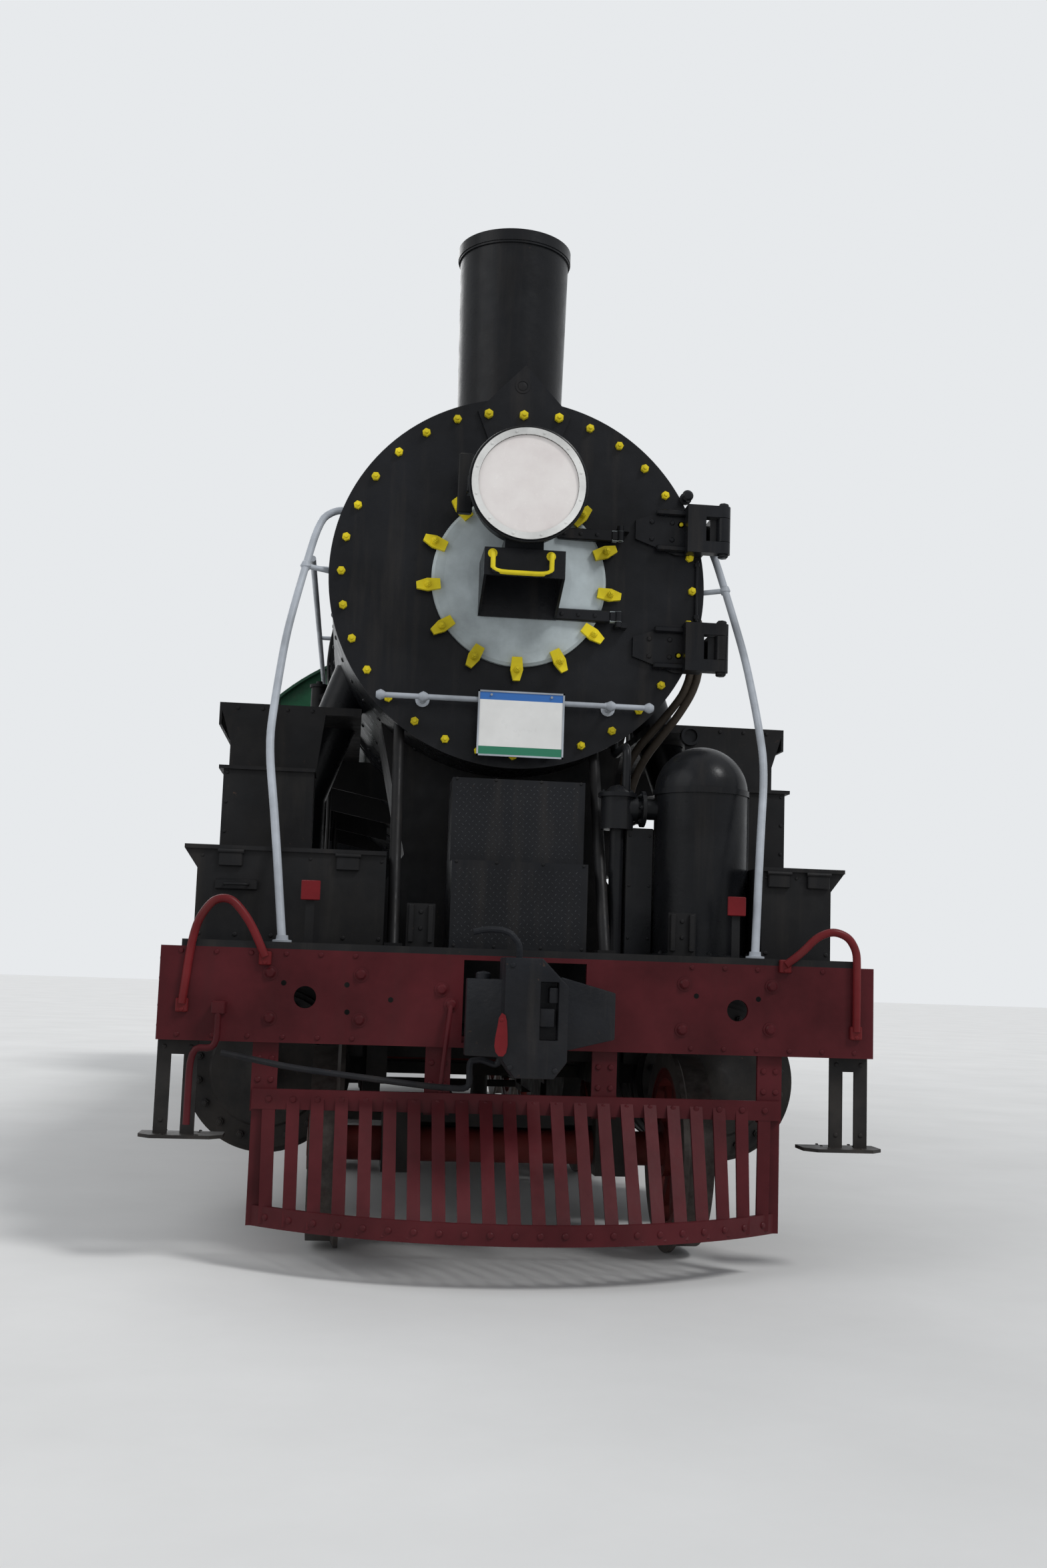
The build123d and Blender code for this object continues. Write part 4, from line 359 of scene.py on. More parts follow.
class Bits:
    """Many small closed solids in one mesh."""

    def __init__(self):
        self.points = []
        self.faces = []

    def add(self, points, faces):
        """Takes in a solid from its points and its faces' point numbers."""
        start = len(self.points)
        self.points += [tuple(p) for p in points]
        self.faces += [tuple(start + i for i in face) for face in faces]

    def turned(self, place, axis, profile, sides=12, turn=0.0):
        """A solid turned about an axis: profile rows are (distance along the axis, radius)."""
        u, v, w = basis(axis)
        place = Vector(place)
        points, rings = [], []
        for distance, radius in profile:
            if radius < 1e-6:
                rings.append([len(points)])
                points.append(place + w * distance)
                continue
            rings.append(list(range(len(points), len(points) + sides)))
            for i in range(sides):
                angle = turn + 2 * math.pi * i / sides
                points.append(place + w * distance + (u * math.cos(angle) + v * math.sin(angle)) * radius)
        faces = []
        for low, high in zip(rings, rings[1:]):
            for i in range(sides):
                j = (i + 1) % sides
                if len(low) == 1:
                    faces.append((low[0], high[j], high[i]))
                elif len(high) == 1:
                    faces.append((low[i], low[j], high[0]))
                else:
                    faces.append((low[i], low[j], high[j], high[i]))
        if len(rings[0]) > 1:
            faces.append(tuple(reversed(rings[0])))
        if len(rings[-1]) > 1:
            faces.append(tuple(rings[-1]))
        self.add(points, faces)

    def rivet(self, place, axis, radius):
        """A round rivet head."""
        self.turned(place, axis, [(-0.001, radius), (radius * 0.25, radius * 0.94), (radius * 0.5, radius * 0.66),
                                  (radius * 0.62, 0)], 10)

    def rivets(self, xs, stations, heights, radius, axis=FORWARD):
        """A rivet wherever one of the X values meets one of the stations and one of the heights."""
        for place in itertools.product(listed(xs), listed(stations), listed(heights)):
            self.rivet(at(*place), axis, radius)

    def nut(self, place, axis, across, thick, stud, turn=0.0):
        """A hexagon nut with chamfered corners and the end of its stud."""
        r = across * 0.577
        self.turned(place, axis, [(-0.001, r), (thick * 0.8, r), (thick, r * 0.84)], 6, turn)
        self.turned(place, axis, [(thick * 0.9, across * 0.27), (thick + stud * 0.85, across * 0.27),
                                  (thick + stud, across * 0.2)], 10)

    def nut_ring(self, centre, radius, degrees, axis, size, twist=0.0, plane="zx"):
        """A nut at each of these angles round a centre, each turned by the twist against the one before."""
        for i, angle in enumerate(degrees):
            self.nut(around(centre, radius, angle, plane), axis, *size, twist * i)

    def ring(self, place, axis, radius, wire, sides=32):
        """A wire ring."""
        u, v, w = basis(axis)
        points = []
        for i, k in itertools.product(range(sides), range(8)):
            angle, turn = 2 * math.pi * i / sides, 2 * math.pi * k / 8
            out = u * math.cos(angle) + v * math.sin(angle)
            points.append(Vector(place) + out * (radius + wire * math.cos(turn)) + w * wire * math.sin(turn))
        self.add(points, loops(sides, 8, closed=True))

    def band(self, place, axis, inner, outer, width, sides=64, start=0.0, sweep=360.0):
        """A flat hoop of rectangular section, whole or over part of a turn."""
        u, v, w = basis(axis)
        whole = sweep == 360.0
        count = sides if whole else sides + 1
        points = []
        for i in range(count):
            angle = math.radians(start + sweep * i / sides)
            out = u * math.cos(angle) + v * math.sin(angle)
            for r, d in ((inner, -width / 2), (outer, -width / 2), (outer, width / 2), (inner, width / 2)):
                points.append(Vector(place) + out * r + w * d)
        faces = loops(count, 4, closed=whole)
        if not whole:
            last = (count - 1) * 4
            faces += [(3, 2, 1, 0), (last, last + 1, last + 2, last + 3)]
        self.add(points, faces)

    def box(self, x0, x1, station0, station1, height0, height1, bevel=0.0):
        """A box between two X values, stations and heights, with its edges cut back by the bevel."""
        x0, x1 = sorted((x0, x1))
        (_, y0, z0), (_, y1, z1) = at(0, station0, height0), at(0, station1, height1)
        if not bevel:
            self.add([(x, y, z) for z in (z0, z1) for x, y in ((x0, y0), (x1, y0), (x1, y1), (x0, y1))],
                     [(3, 2, 1, 0), (4, 5, 6, 7), *loops(2, 4, turned=True)])
            return
        points = []
        for z, inset in ((z0, bevel), (z0 + bevel, 0), (z1 - bevel, 0), (z1, bevel)):
            cut = bevel + inset
            points += [(x, y, z) for x, y in (
                (x0 + cut, y0 + inset), (x1 - cut, y0 + inset), (x1 - inset, y0 + cut), (x1 - inset, y1 - cut),
                (x1 - cut, y1 - inset), (x0 + cut, y1 - inset), (x0 + inset, y1 - cut), (x0 + inset, y0 + cut))]
        self.add(points, [*loops(4, 8, turned=True), tuple(reversed(range(8))), tuple(range(24, 32))])

    def tube(self, route, radius, sides=10, cut=0.0, count=4):
        """A closed round tube along (x, station, height) points, with its corners mitred or rounded by the cut."""
        path = [Vector(at(*p)) for p in route]
        if cut:
            path = smooth_path(path, cut, count)
        points = []
        previous = None
        for i, p in enumerate(path):
            before = (p - path[i - 1]).normalized() if i else (path[1] - p).normalized()
            after = (path[i + 1] - p).normalized() if i + 1 < len(path) else before
            direction = (before + after).normalized()
            if previous is None:
                u, v, _ = basis(direction)
            else:
                u = (previous - direction * previous.dot(direction)).normalized()
                v = direction.cross(u)
            previous = u
            for k in range(sides):
                angle = 2 * math.pi * k / sides
                points.append(p + (u * math.cos(angle) + v * math.sin(angle)) * radius)
        end = (len(path) - 1) * sides
        self.add(points, [*loops(len(path), sides, turned=True), tuple(reversed(range(sides))),
                          tuple(range(end, end + sides))])

    def slab(self, plan, low, high):
        """A solid over a plan of (x, station) corners, between two heights that are functions of x."""
        count = len(plan)
        self.add([at(x, station, height(x)) for height in (low, high) for x, station in plan],
                 [tuple(range(count)), tuple(range(count, 2 * count)),
                  *loops(2, count, turned=True)])

    def piece(self, name, slot="black_paint", body="frame", material=None, sharp_deg=32, bevel=0.0):
        """The gathered solids as one shown object that rides on a body, its sharp edges cut back by the bevel."""
        mesh = bpy.data.meshes.new(name)
        mesh.from_pydata(self.points, [], self.faces)
        mesh.validate()
        shape = bmesh.new()
        shape.from_mesh(mesh)
        bmesh.ops.recalc_face_normals(shape, faces=shape.faces)
        if bevel:
            edges = [e for e in shape.edges if len(e.link_faces) == 2 and e.calc_face_angle() > 0.6]
            bmesh.ops.bevel(shape, geom=edges, offset=bevel, segments=2, profile=0.6, affect="EDGES",
                            clamp_overlap=True)
        shape.to_mesh(mesh)
        shape.free()
        mesh.materials.append(material or MATERIALS[slot])
        mesh.shade_smooth()
        mesh.set_sharp_from_angle(angle=math.radians(sharp_deg))
        item = shown(name, mesh)
        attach(item, body)
        return item


# Front beam, pilot and deck.

BOLT_HEAD = [(-.001, .030), (.004, .030), (.005, .022), (.012, .021), (.019, .014), (.021, 0)]
BEAM_BOLTS = ((-.675, 1.158), (-.674, .975), (-1.041, 1.154), (-1.037, .972), (-.343, 1.109), (-.302, 1.048),
              (.668, 1.163), (.661, .973), (1.042, 1.164), (1.036, .985))
BEAM_HOLES = ((-.730, 1.115), (-.725, 1.005), (-.985, 1.115), (.985, 1.110), (.720, 1.115), (-.55, 1.06))
HOOPS = (
    ((-1.385, 1.021), (-1.355, 1.329), (-1.292, 1.434), (-1.242, 1.452), (-1.196, 1.437), (-1.127, 1.351),
     (-1.064, 1.218)),
    ((1.403, .987), (1.404, 1.257), (1.401, 1.324), (1.367, 1.382), (1.299, 1.405), (1.229, 1.377), (1.164, 1.308),
     (1.095, 1.256)),
)
HOOP_FEET = [route[end] for route in HOOPS for end in (0, -1)]


def beam_fasteners():
    """The beam's bolt heads, rivets and small holes, each a near-black disc of painted shade, the hoops' bolts and the
    stirrups' rivets.
    """
    heads = Bits()
    for x, height in BEAM_BOLTS:
        heads.turned(at(x, 0, height), FORWARD, BOLT_HEAD, 14)
    heads.rivets(steps(-1.40, .14, 6) + steps(.70, .14, 6), 0, (.898, 1.232), .011)
    for side in SIDES:
        heads.rivets(side * BEAM_HALF, (.05, .13), (.93, 1.01, 1.12, 1.20), .011, (side, 0, 0))
    heads.piece("beam_bolts", "red_paint")
    feet = Bits()
    for x, height in HOOP_FEET:
        feet.rivets(x, -.021, height - .024, .009)
    feet.piece("hoop_bolts", "hoop_red")
    hole_shades = Bits()
    for x, height in BEAM_HOLES:
        # Painted shade: a thin near-black disc on the beam's face for each hole.
        hole_shades.turned(at(x, 0, height), FORWARD, [(-.001, .011), (.0006, .011)], 14)
    hole_shades.piece("beam_hole_shade", material=HOLE_SHADE)
    trim = Bits()
    for side in SIDES:
        trim.rivets((side * 1.345, side * 1.452), .070, (.845, .552), .010)
        trim.rivets((side * 1.30, side * 1.44), (.015, .125, .190), .500, .007, UPWARD)
    trim.piece("stirrup_rivets")


PILOT_HALF, PILOT_BOW, PILOT_SLATS = 1.090, 0.430, 22
PILOT_TOP, PILOT_FOOT, PILOT_BAR_T = .690, .150, .024


def pilot_rivets():
    """Rivets along the pilot's straight top bar, its bowed foot and its straps."""
    rivets = Bits()
    bow_r = (PILOT_HALF ** 2 + PILOT_BOW ** 2) / (2 * PILOT_BOW)
    bow_centre = .050 - PILOT_BOW + bow_r
    for i in range(PILOT_SLATS):
        share = -1 + 2 * (i + 0.5) / PILOT_SLATS
        rivets.rivets(share * (PILOT_HALF - .020), .030 - PILOT_BAR_T, PILOT_TOP - .040, .014)
        x = share * (PILOT_HALF - .030)
        lean = math.asin(x / bow_r)
        rivets.rivets(x, bow_centre - math.cos(lean) * bow_r, PILOT_FOOT + .040, .014,
                      (math.sin(lean), -math.cos(lean), 0))
    for x in (-1.045, -.345, .345, 1.045):
        rivets.rivets((x - .026, x + .026), .030, (PILOT_TOP + .035, PILOT_TOP + .120), .013)
    rivets.piece("pilot_rivets", "red_paint")


MARK_PITCH_X, MARK_PITCH_Z, MARK_LONG, MARK_WIDE, MARK_THICK = .031, .034, .0085, .0024, .0022
TREAD_LEFT, TREAD_RIGHT = -.284, .319
RISERS = ((.500, DECK + .02, 1.668), (.660, 1.700, 2.060))       # station, lowest and highest mark


def tread_marks():
    """The raised slanting marks of the patterned step plates, in two crossed sets."""
    marks = Bits()
    for (station, low, high), crossed in itertools.product(RISERS, (0, 1)):
        tilt = math.radians(45 if crossed else -45)
        long_x, long_z = math.cos(tilt) * MARK_LONG, math.sin(tilt) * MARK_LONG
        wide_x, wide_z = -math.sin(tilt) * MARK_WIDE, math.cos(tilt) * MARK_WIDE
        columns = int((TREAD_RIGHT - TREAD_LEFT) / MARK_PITCH_X) - crossed
        for row, column in itertools.product(range(int((high - low) / MARK_PITCH_Z)), range(columns)):
            x = TREAD_LEFT + (column + .5 + .5 * crossed) * MARK_PITCH_X
            z = low + (row + .5 + .5 * crossed) * MARK_PITCH_Z
            if z <= high - MARK_LONG:
                foot = [(x + long_x, z + long_z), (x + wide_x, z + wide_z), (x - long_x, z - long_z),
                        (x - wide_x, z - wide_z)]
                marks.add([at(px, station + .0005, pz) for px, pz in foot] + [at(x, station - MARK_THICK, z)],
                          [(0, 1, 2, 3), (1, 0, 4), (2, 1, 4), (3, 2, 4), (0, 3, 4)])
    marks.piece("step_marks", "plate_black", material=WORN_TREAD, sharp_deg=80)


def deck_details():
    """Rivets of the steps, boxes and running boards, the boxes' latch and hinges, the red markers and lamp forks."""
    heads = Bits()
    for station, height in ((.500, 1.298), (.500, 1.672), (.660, 2.064)):
        heads.rivets((-.27, -.09, .12, .305), station, height, .008)
    for x0, x1, count in ((-1.37, -.605, 6), (1.105, 1.38, 3)):
        row = steps(x0, (x1 - x0) / (count - 1), count)
        heads.rivets(row, .345, DECK + .03, .010)
        heads.rivets(row, .345, 1.645, .008)
    for side in SIDES:
        outward = (side, 0, 0)
        heads.rivets(side * 1.335, .950, steps(1.38, .14, 6), .009)
        heads.rivets([side * x for x in steps(.96, .12, 4)], 1.180, BOARD - .025, .010)
        heads.rivets(side * 1.408, steps(1.35, .31, 26), BOARD - .055, .009, outward)
        heads.rivets(-1.390 if side < 0 else 1.400, steps(.40, .085, 7), DECK + .03, .009, outward)
    heads.piece("deck_rivets")
    latch = Bits()
    latch.box(-1.310, -1.130, .329, .346, 1.500, 1.545, .005)
    latch.tube([(-1.27, .345, 1.523), (-1.27, .300, 1.523), (-1.17, .300, 1.523), (-1.17, .345, 1.523)], .006, cut=.35)
    for x in (-1.25, -.75, 1.16, 1.34):
        latch.box(x - .05, x + .05, .323, .346, 1.60, 1.66, .004)
        latch.tube([(x - .055, .325, 1.664), (x + .055, .325, 1.664)], .009)
    latch.piece("box_latches")
    markers = Bits()
    for x in (-.900, .933):
        markers.box(x - .040, x + .040, .184, .195, 1.462, 1.545, .003)
    markers.piece("red_markers", "hoop_red", material=MARKER_RED)
    forks = Bits()
    for x in (-.432, .696):
        for left in (x - .052, x + .030):
            forks.box(left, left + .022, .180, .201, 1.30, 1.46, .003)
        forks.rivets(x, .20, (1.36, 1.43), .010)
    forks.piece("lamp_forks")


TEARDROP = ((-.141, 1.034), (-.128, 1.026), (-.122, 1.005), (-.118, .960), (-.116, .915), (-.121, .885),
            (-.133, .871), (-.149, .872), (-.161, .886), (-.166, .908), (-.164, .940), (-.157, .980), (-.152, 1.015))
COUPLER_STATION = -.500


def coupler_details():
    """The coupler's red indicator and its pins."""
    drop = Bits()
    count = len(TEARDROP)
    drop.add([at(x, COUPLER_STATION + out, z) for out in (-.005, .004) for x, z in TEARDROP],
             [tuple(range(count)), tuple(reversed(range(count, 2 * count)))]
             + [(i + count, (i + 1) % count + count, (i + 1) % count, i) for i in range(count)])
    drop.rivets(-.141, COUPLER_STATION - .004, 1.008, .008)
    drop.piece("coupler_indicator", "hoop_red", material=MARKER_RED)
    iron = Bits()
    for x, height in ((-.105, 1.215), (.068, .822), (-.105, .830)):
        iron.rivets(x, COUPLER_STATION, height, .011)
    iron.turned(at(-.20, -.30, 1.16), UPWARD, [(-.001, .030), (.020, .030), (.026, .022), (.030, 0)], 14)
    iron.turned(at(0, -.20, 1.165), UPWARD, [(-.001, .045), (.014, .045), (.020, .034), (.022, 0)], 18)
    iron.piece("coupler_pins", "coupler_iron")


TANK_X, TANK_STATION = .862, .620


def tank_details():
    """The bolted foot, seam strip and pipe flange of the dome-topped vessel, and the riser's bolted cap."""
    fittings = Bits()
    fittings.turned(at(TANK_X, TANK_STATION, DECK), UPWARD, [(-.001, .243), (.012, .243), (.016, .216)], 48)
    fittings.nut_ring(at(TANK_X, TANK_STATION, DECK + .012), .231, steps(0, 30, 12), UPWARD, (.018, .010, .006),
                      plane="xy")
    fittings.box(TANK_X + .205, TANK_X + .222, TANK_STATION - .030, TANK_STATION + .030, 1.62, 2.03, .004)
    flange = at(.580, TANK_STATION, 1.955)
    fittings.turned(flange, (1, 0, 0), [(-.001, .084), (.016, .084), (.018, .080)], 28)
    fittings.nut_ring(flange, .066, steps(0, 60, 6), (-1, 0, 0), (.020, .012, .006), plane="yz")
    fittings.turned(at(.470, TANK_STATION, 2.005), UPWARD, [(-.001, .090), (.018, .090), (.022, .060), (.050, .034),
                                                            (.060, 0)], 24)
    fittings.nut_ring(at(.470, TANK_STATION, 2.020), .074, steps(20, 60, 6), UPWARD, (.018, .010, .006), plane="xy")
    fittings.rivets((.530, .622), .600, (1.36, 1.60, 1.83), .007)
    fittings.piece("tank_fittings", "boiler_black")


# Smokebox, front plate, inner door and lamp.

RAIL_STATION, FRONT_RAIL = .750, 2.452
RAIL_BALL = [(0, .014), (.010, .021), (.022, .026), (.034, .021), (.044, .014)]
KNOB = [(-.001, .030), (.010, .030), (.012, .018), (.045, .016), (.050, .026), (.062, .028), (.070, .018), (.072, 0)]


def plate_nuts():
    """The front plate's nuts, diamond plug and hinge fittings, its handrail's knobs and the blank board's frame."""
    nuts = Bits()
    for i in range(32):
        place = around(at(0, PLATE, BOILER), .848, 11.25 * i)
        if abs(place[0]) >= .23 or place[2] <= BOILER_Z + .70:
            nuts.nut(place, FORWARD, .036, .020, .012, .35 * i)
    for x, height in ((-.175, 3.868), (-.004, 3.873), (.168, 3.872)):
        nuts.nut(at(x, PLATE - .016, height), FORWARD, .040, .022, .014, .5)
    nuts.piece("plate_nuts", "clamp_yellow", "front_plate")
    plug = Bits()
    place = at(-.014, PLATE - .016, 4.021)
    plug.turned(place, FORWARD, [(-.001, .036), (.003, .036), (.003, .026), (-.0005, .025)], 20)
    plug.turned(place, FORWARD, [(-.001, .022), (.002, .021), (.004, .012), (.0045, 0)], 18)
    plug.piece("diamond_plug", "plate_black", "front_plate")
    heads = Bits()
    for low, high in ((2.645, 2.880), (3.225, 3.460)):
        heads.rivets((.64, .74, .84), PLATE - .020, (low + .075, high - .075), .013)
        for height, sign in ((low, -1), (high, 1)):
            heads.turned(at(.980, .770, height), (0, 0, sign), [(-.002, .026), (.012, .026), (.018, .020)], 6)
        for height in (low + .014, high - .043):
            heads.box(.66, .86, PLATE - .045, PLATE - .019, height, height + .029, .006)
    heads.turned(at(.805, PLATE, 3.514), FORWARD, KNOB, 16)
    heads.tube([(.868, PLATE - .014, 3.205), (.868, PLATE - .014, 2.905)], .0075)
    for height in (2.925, 3.185):
        heads.box(.856, .880, PLATE - .020, PLATE + .001, height - .012, height + .012, .003)
    heads.piece("hinge_rivets", "plate_black", "front_plate")
    balls = Bits()
    for x in (-.637, -.438, .449, .632):
        balls.turned(at(x - .022, RAIL_STATION, FRONT_RAIL), (1, 0, 0), RAIL_BALL, 16)
    balls.tube([(-.637, RAIL_STATION, FRONT_RAIL), (.632, RAIL_STATION, FRONT_RAIL)], .0132, 16)
    for x in (-.438, .449):
        balls.turned(at(x, PLATE, FRONT_RAIL), FORWARD, [(-.001, .034), (.006, .034), (.010, .020), (.030, .015)], 16)
    balls.piece("handrail_knobs", "rail_grey", "front_plate")
    board = Bits()
    front, back = RAIL_STATION - .0205, RAIL_STATION - .0115
    for x in (-.178, .222):
        board.box(x - .004, x + .004, front, back, 2.186, 2.496)
    for height in (2.190, 2.492):
        board.box(-.182, .226, front, back, height - .004, height + .004)
    for x in (-.120, .164):
        board.tube([(x, RAIL_STATION - .020, 2.475), (x, RAIL_STATION - .024, 2.475)], .006)
    board.piece("board_frame", "rail_grey", "front_plate")


STACK_STATION = 1.680
STACK_FOOT, STACK_TOP, STACK_FOOT_R, STACK_TOP_R = BOILER + SMOKEBOX_R + .20, 5.02, .279, .295


def smokebox_details():
    """Rivet rows, band screws, the chimney's seam and rim, and the tube ends behind the front plate."""
    rivets = Bits()
    for station, count in ((.905, 60), (2.640, 60), (1.28, 48), (2.08, 48)):
        for degrees in steps(0, 360 / count, count):
            if not 150 < degrees < 210:
                rivets.rivet(*round_boiler(SMOKEBOX_R, station, degrees), .013)
    rivets.piece("smokebox_rivets", "boiler_black")
    screws = Bits()
    for station in (2.762, 3.952, 5.152, 6.252):
        for degrees in steps(5, 10, 36):
            screws.rivet(*round_boiler(BARREL_R + .006, station, degrees), .007)
        for side in SIDES:
            (x, _, _), (_, _, up) = round_boiler(BARREL_R + .006, station, side * 118)
            screws.box(x - .020, x + .020, station - .022, station + .022, BOILER + up - .035, BOILER + up + .035, .005)
    screws.piece("band_screws", "boiler_black")
    stack = Bits()
    for degrees in steps(15, 30, 12):
        x, back = .328 * math.sin(math.radians(degrees)), .328 * math.cos(math.radians(degrees))
        if SMOKEBOX_R - math.sqrt(SMOKEBOX_R ** 2 - x ** 2) < .10:
            stack.rivets(x, STACK_STATION + back, BOILER + SMOKEBOX_R + .030, .014, UPWARD)
    stack.band(at(0, STACK_STATION, 5.035), UPWARD, .296, .303, .014)
    for i in range(19):
        share = i / 18
        stack.rivets(.012, STACK_STATION + STACK_FOOT_R + (STACK_TOP_R - STACK_FOOT_R) * share,
                     STACK_FOOT + (STACK_TOP - STACK_FOOT) * share, .008, REARWARD)
    stack.piece("chimney_rivets", "boiler_black")
    tubes = Bits()
    for row, drop in enumerate(steps(.075, .042, 17)):
        count = int(2 * math.sqrt(.80 ** 2 - drop ** 2) / .062)
        shift = .015 if row % 2 else -.015
        for i in range(count):
            tubes.turned(at((i - (count - 1) / 2) * .062 + shift, TUBE_PLATE, BOILER - drop), FORWARD,
                         [(-.001, .024), (.004, .024), (.004, .017), (.0004, .016)], 10)
    tubes.piece("tube_ends", "boiler_black", material=MATERIALS["rod_steel"])


INNER_STRAPS = ((2.868, 2.916), (3.265, 3.313))
HANDLE_LEFT, HANDLE_RIGHT, HANDLE_HIGH, HANDLE_LOW = -.158, .112, 3.090, 2.995


def door_details():
    """The clamps' nuts, the hinge straps, the lamp's rim and body trim, and the lifting handle."""
    nuts = Bits()
    nuts.nut_ring(at(0, PLATE - .0813, BOILER), .442, steps(13.8, 27.7, 13), FORWARD, (.026, .012, .010), .4)
    nuts.piece("clamp_nuts", "clamp_yellow", "inner_door")
    straps = Bits()
    for low, high in INNER_STRAPS:
        straps.box(.176, .442, PLATE - .066, PLATE - .028, low - .004, high + .004, .005)
        straps.box(.436, .478, PLATE - .073, PLATE - .050, low + .001, high - .001, .004)
        straps.turned(at(.478, PLATE - .062, low + .001), UPWARD, [(0, .0185), (high - low - .002, .0185)], 20)
        straps.rivets((.205, .285, .365), PLATE - .066, (low + high) / 2, .011)
    straps.piece("strap_covers", "plate_black", "inner_door")
    rim = Bits()
    rim.band(at(LAMP_X, LAMP_STATION + .001, LAMP), FORWARD, .231, .262, .006, 72)
    for degrees in steps(15, 30, 12):
        rim.turned(around(at(LAMP_X, LAMP_STATION - .002, LAMP), .2465, degrees), FORWARD,
                   [(-.001, .006), (.002, .006), (.0035, .003)], 10)
    rim.piece("lamp_rim", "lamp_shell", "inner_door", LAMP_WHITE)
    dark = Bits()
    dark.ring(at(LAMP_X, LAMP_STATION + .012, LAMP), FORWARD, .268, .008, 64)
    for degrees in steps(10, 36, 10):
        x, y, z = around(at(LAMP_X, LAMP_STATION + .090, LAMP), .250, degrees)
        dark.rivet((x, y, z), (x - LAMP_X, 0, z - RAIL - LAMP), .009)
    for x in (LAMP_X - .262, LAMP_X + .262):
        dark.box(x - .016, x + .016, .46, .53, LAMP - .04, LAMP + .04, .006)
    dark.box(-.320, -.250, .655, .700, 3.32, 3.61, .006)
    dark.box(-.300, -.18, .66, .685, 3.44, 3.48, .004)
    dark.rivets((-.16, .14), (.55, .70), 3.120, .010, UPWARD)
    dark.piece("lamp_body_trim", "lamp_shell", "inner_door")
    handle = Bits()
    handle.tube([(HANDLE_LEFT, .501, HANDLE_HIGH), (HANDLE_LEFT, .460, HANDLE_HIGH), (HANDLE_LEFT, .460, HANDLE_LOW),
                 (HANDLE_RIGHT, .460, HANDLE_LOW), (HANDLE_RIGHT, .460, HANDLE_HIGH),
                 (HANDLE_RIGHT, .501, HANDLE_HIGH)], .0115, 12, .25)
    for x in (HANDLE_LEFT, HANDLE_RIGHT):
        handle.turned(at(x, .501, HANDLE_HIGH), FORWARD, [(-.001, .022), (.005, .022), (.007, .012)], 14)
    handle.piece("lifting_handle", "clamp_yellow", "inner_door")


# Sides, cylinders, motion and wheels.

CYL_CAP = [(-.001, .272), (.012, .260), (.015, .200), (.021, .110), (.038, .062), (.042, .050), (.046, 0)]
CYL_GLAND = [(-.001, .135), (.045, .130), (.050, .092), (.095, .090), (.100, .058)]
VALVE_CAP = [(-.001, .150), (.010, .140), (.012, .066), (.040, .060), (.044, .040), (.046, 0)]
VALVE_GLAND = [(-.001, .100), (.030, .096), (.034, .052), (.070, .05), (.074, .032)]
DRAIN_COCK = [(0, .014), (.038, .016), (.038, .030), (.075, .030)]


def cylinder_details():
    """Cover nuts, front caps, the piston glands and the cladding bands of the cylinders."""
    nuts, covers = Bits(), Bits()
    front, back = CYL_STATION - CYL_HALF, CYL_STATION + CYL_HALF
    for side in SIDES:
        x, valve_x = side * CYL_X, side * VALVE_X
        for station, axis in ((front, FORWARD), (back, REARWARD)):
            nuts.nut_ring(at(x, station, CYL), .322, steps(0, 20, 18), axis, (.032, .018, .010), .3)
            nuts.nut_ring(at(valve_x, station, VALVE), .182, steps(15, 30, 12), axis, (.026, .014, .008), .3)
        nuts.nut_ring(at(side * (VALVE_X - .020), CYL_STATION, VALVE + .315), .137, steps(0, 36, 10), UPWARD,
                      (.028, .016, .010), .2, "xy")
        covers.turned(at(x, front, CYL), FORWARD, CYL_CAP, 40)
        covers.turned(at(x, back, CYL), REARWARD, CYL_GLAND, 32)
        covers.turned(at(valve_x, front, VALVE), FORWARD, VALVE_CAP, 32)
        covers.turned(at(valve_x, back, VALVE), REARWARD, VALVE_GLAND, 28)
        for station in (1.36, 1.70, 2.04):
            covers.band(at(x, station, CYL), REARWARD, .389, .397, .045, 56)
        for station in (1.27, 2.13):
            covers.turned(at(x, station, CYL - .450), UPWARD, DRAIN_COCK)
        for up in (-.062, .062):
            covers.nut(at(x, back + .095, CYL + up), REARWARD, .026, .016, .014)
    nuts.piece("cylinder_nuts")
    covers.piece("cylinder_covers")


OIL_CUP = [(0, .020), (.026, .020), (.026, .026), (.035, .025), (.039, .012), (.045, .010), (.047, 0)]
RODS = (("right", 1, -90, 2.990), ("left", -1, 0, 3.330))        # side, crank angle, crosshead pin's station
LINK_STATION, LINK = 4.080, 1.450


def motion_details():
    """Nuts and caps on the fixed motion, and wedge bolts and oil cups on the side rods."""
    fixed = Bits()
    for _, side, crank, crosshead in RODS:
        outward = (side, 0, 0)
        fixed.nut(at(side * 1.184, crosshead + .020, CYL), outward, .036, .014, .008)
        fixed.nut(around(at(side * 1.172, DRIVERS[2], DRIVER_R), CRANK_R, crank, "yz"), outward, .060, .018, .010)
        fixed.rivets(side * 1.172, (LINK_STATION + .034, LINK_STATION - .036), steps(LINK - .255, .170, 4), .008,
                     outward)
        fixed.nut(at(side * 1.240, LINK_STATION, LINK), outward, .046, .016, .008)
        for station, up in itertools.product((2.28, 2.36, 3.44), (-.160, .160)):
            fixed.nut(at(side * 1.148, station, CYL + up), outward, .024, .012, .008)
    fixed.piece("motion_nuts", "rod_steel")
    for name, side, crank, _ in RODS:
        rod = Bits()
        for station in DRIVERS:
            _, y, z = around(at(0, station, DRIVER_R), CRANK_R, crank, "yz")
            rod.turned((side * .955, y, z + .100), UPWARD, OIL_CUP, 14)
            for back in (-.088, .088):
                rod.nut((side * .990, y + back, z), (side, 0, 0), .016, .003, .001)
        rod.piece(f"rod_caps_{name}", "rod_steel", f"rod_{name}")


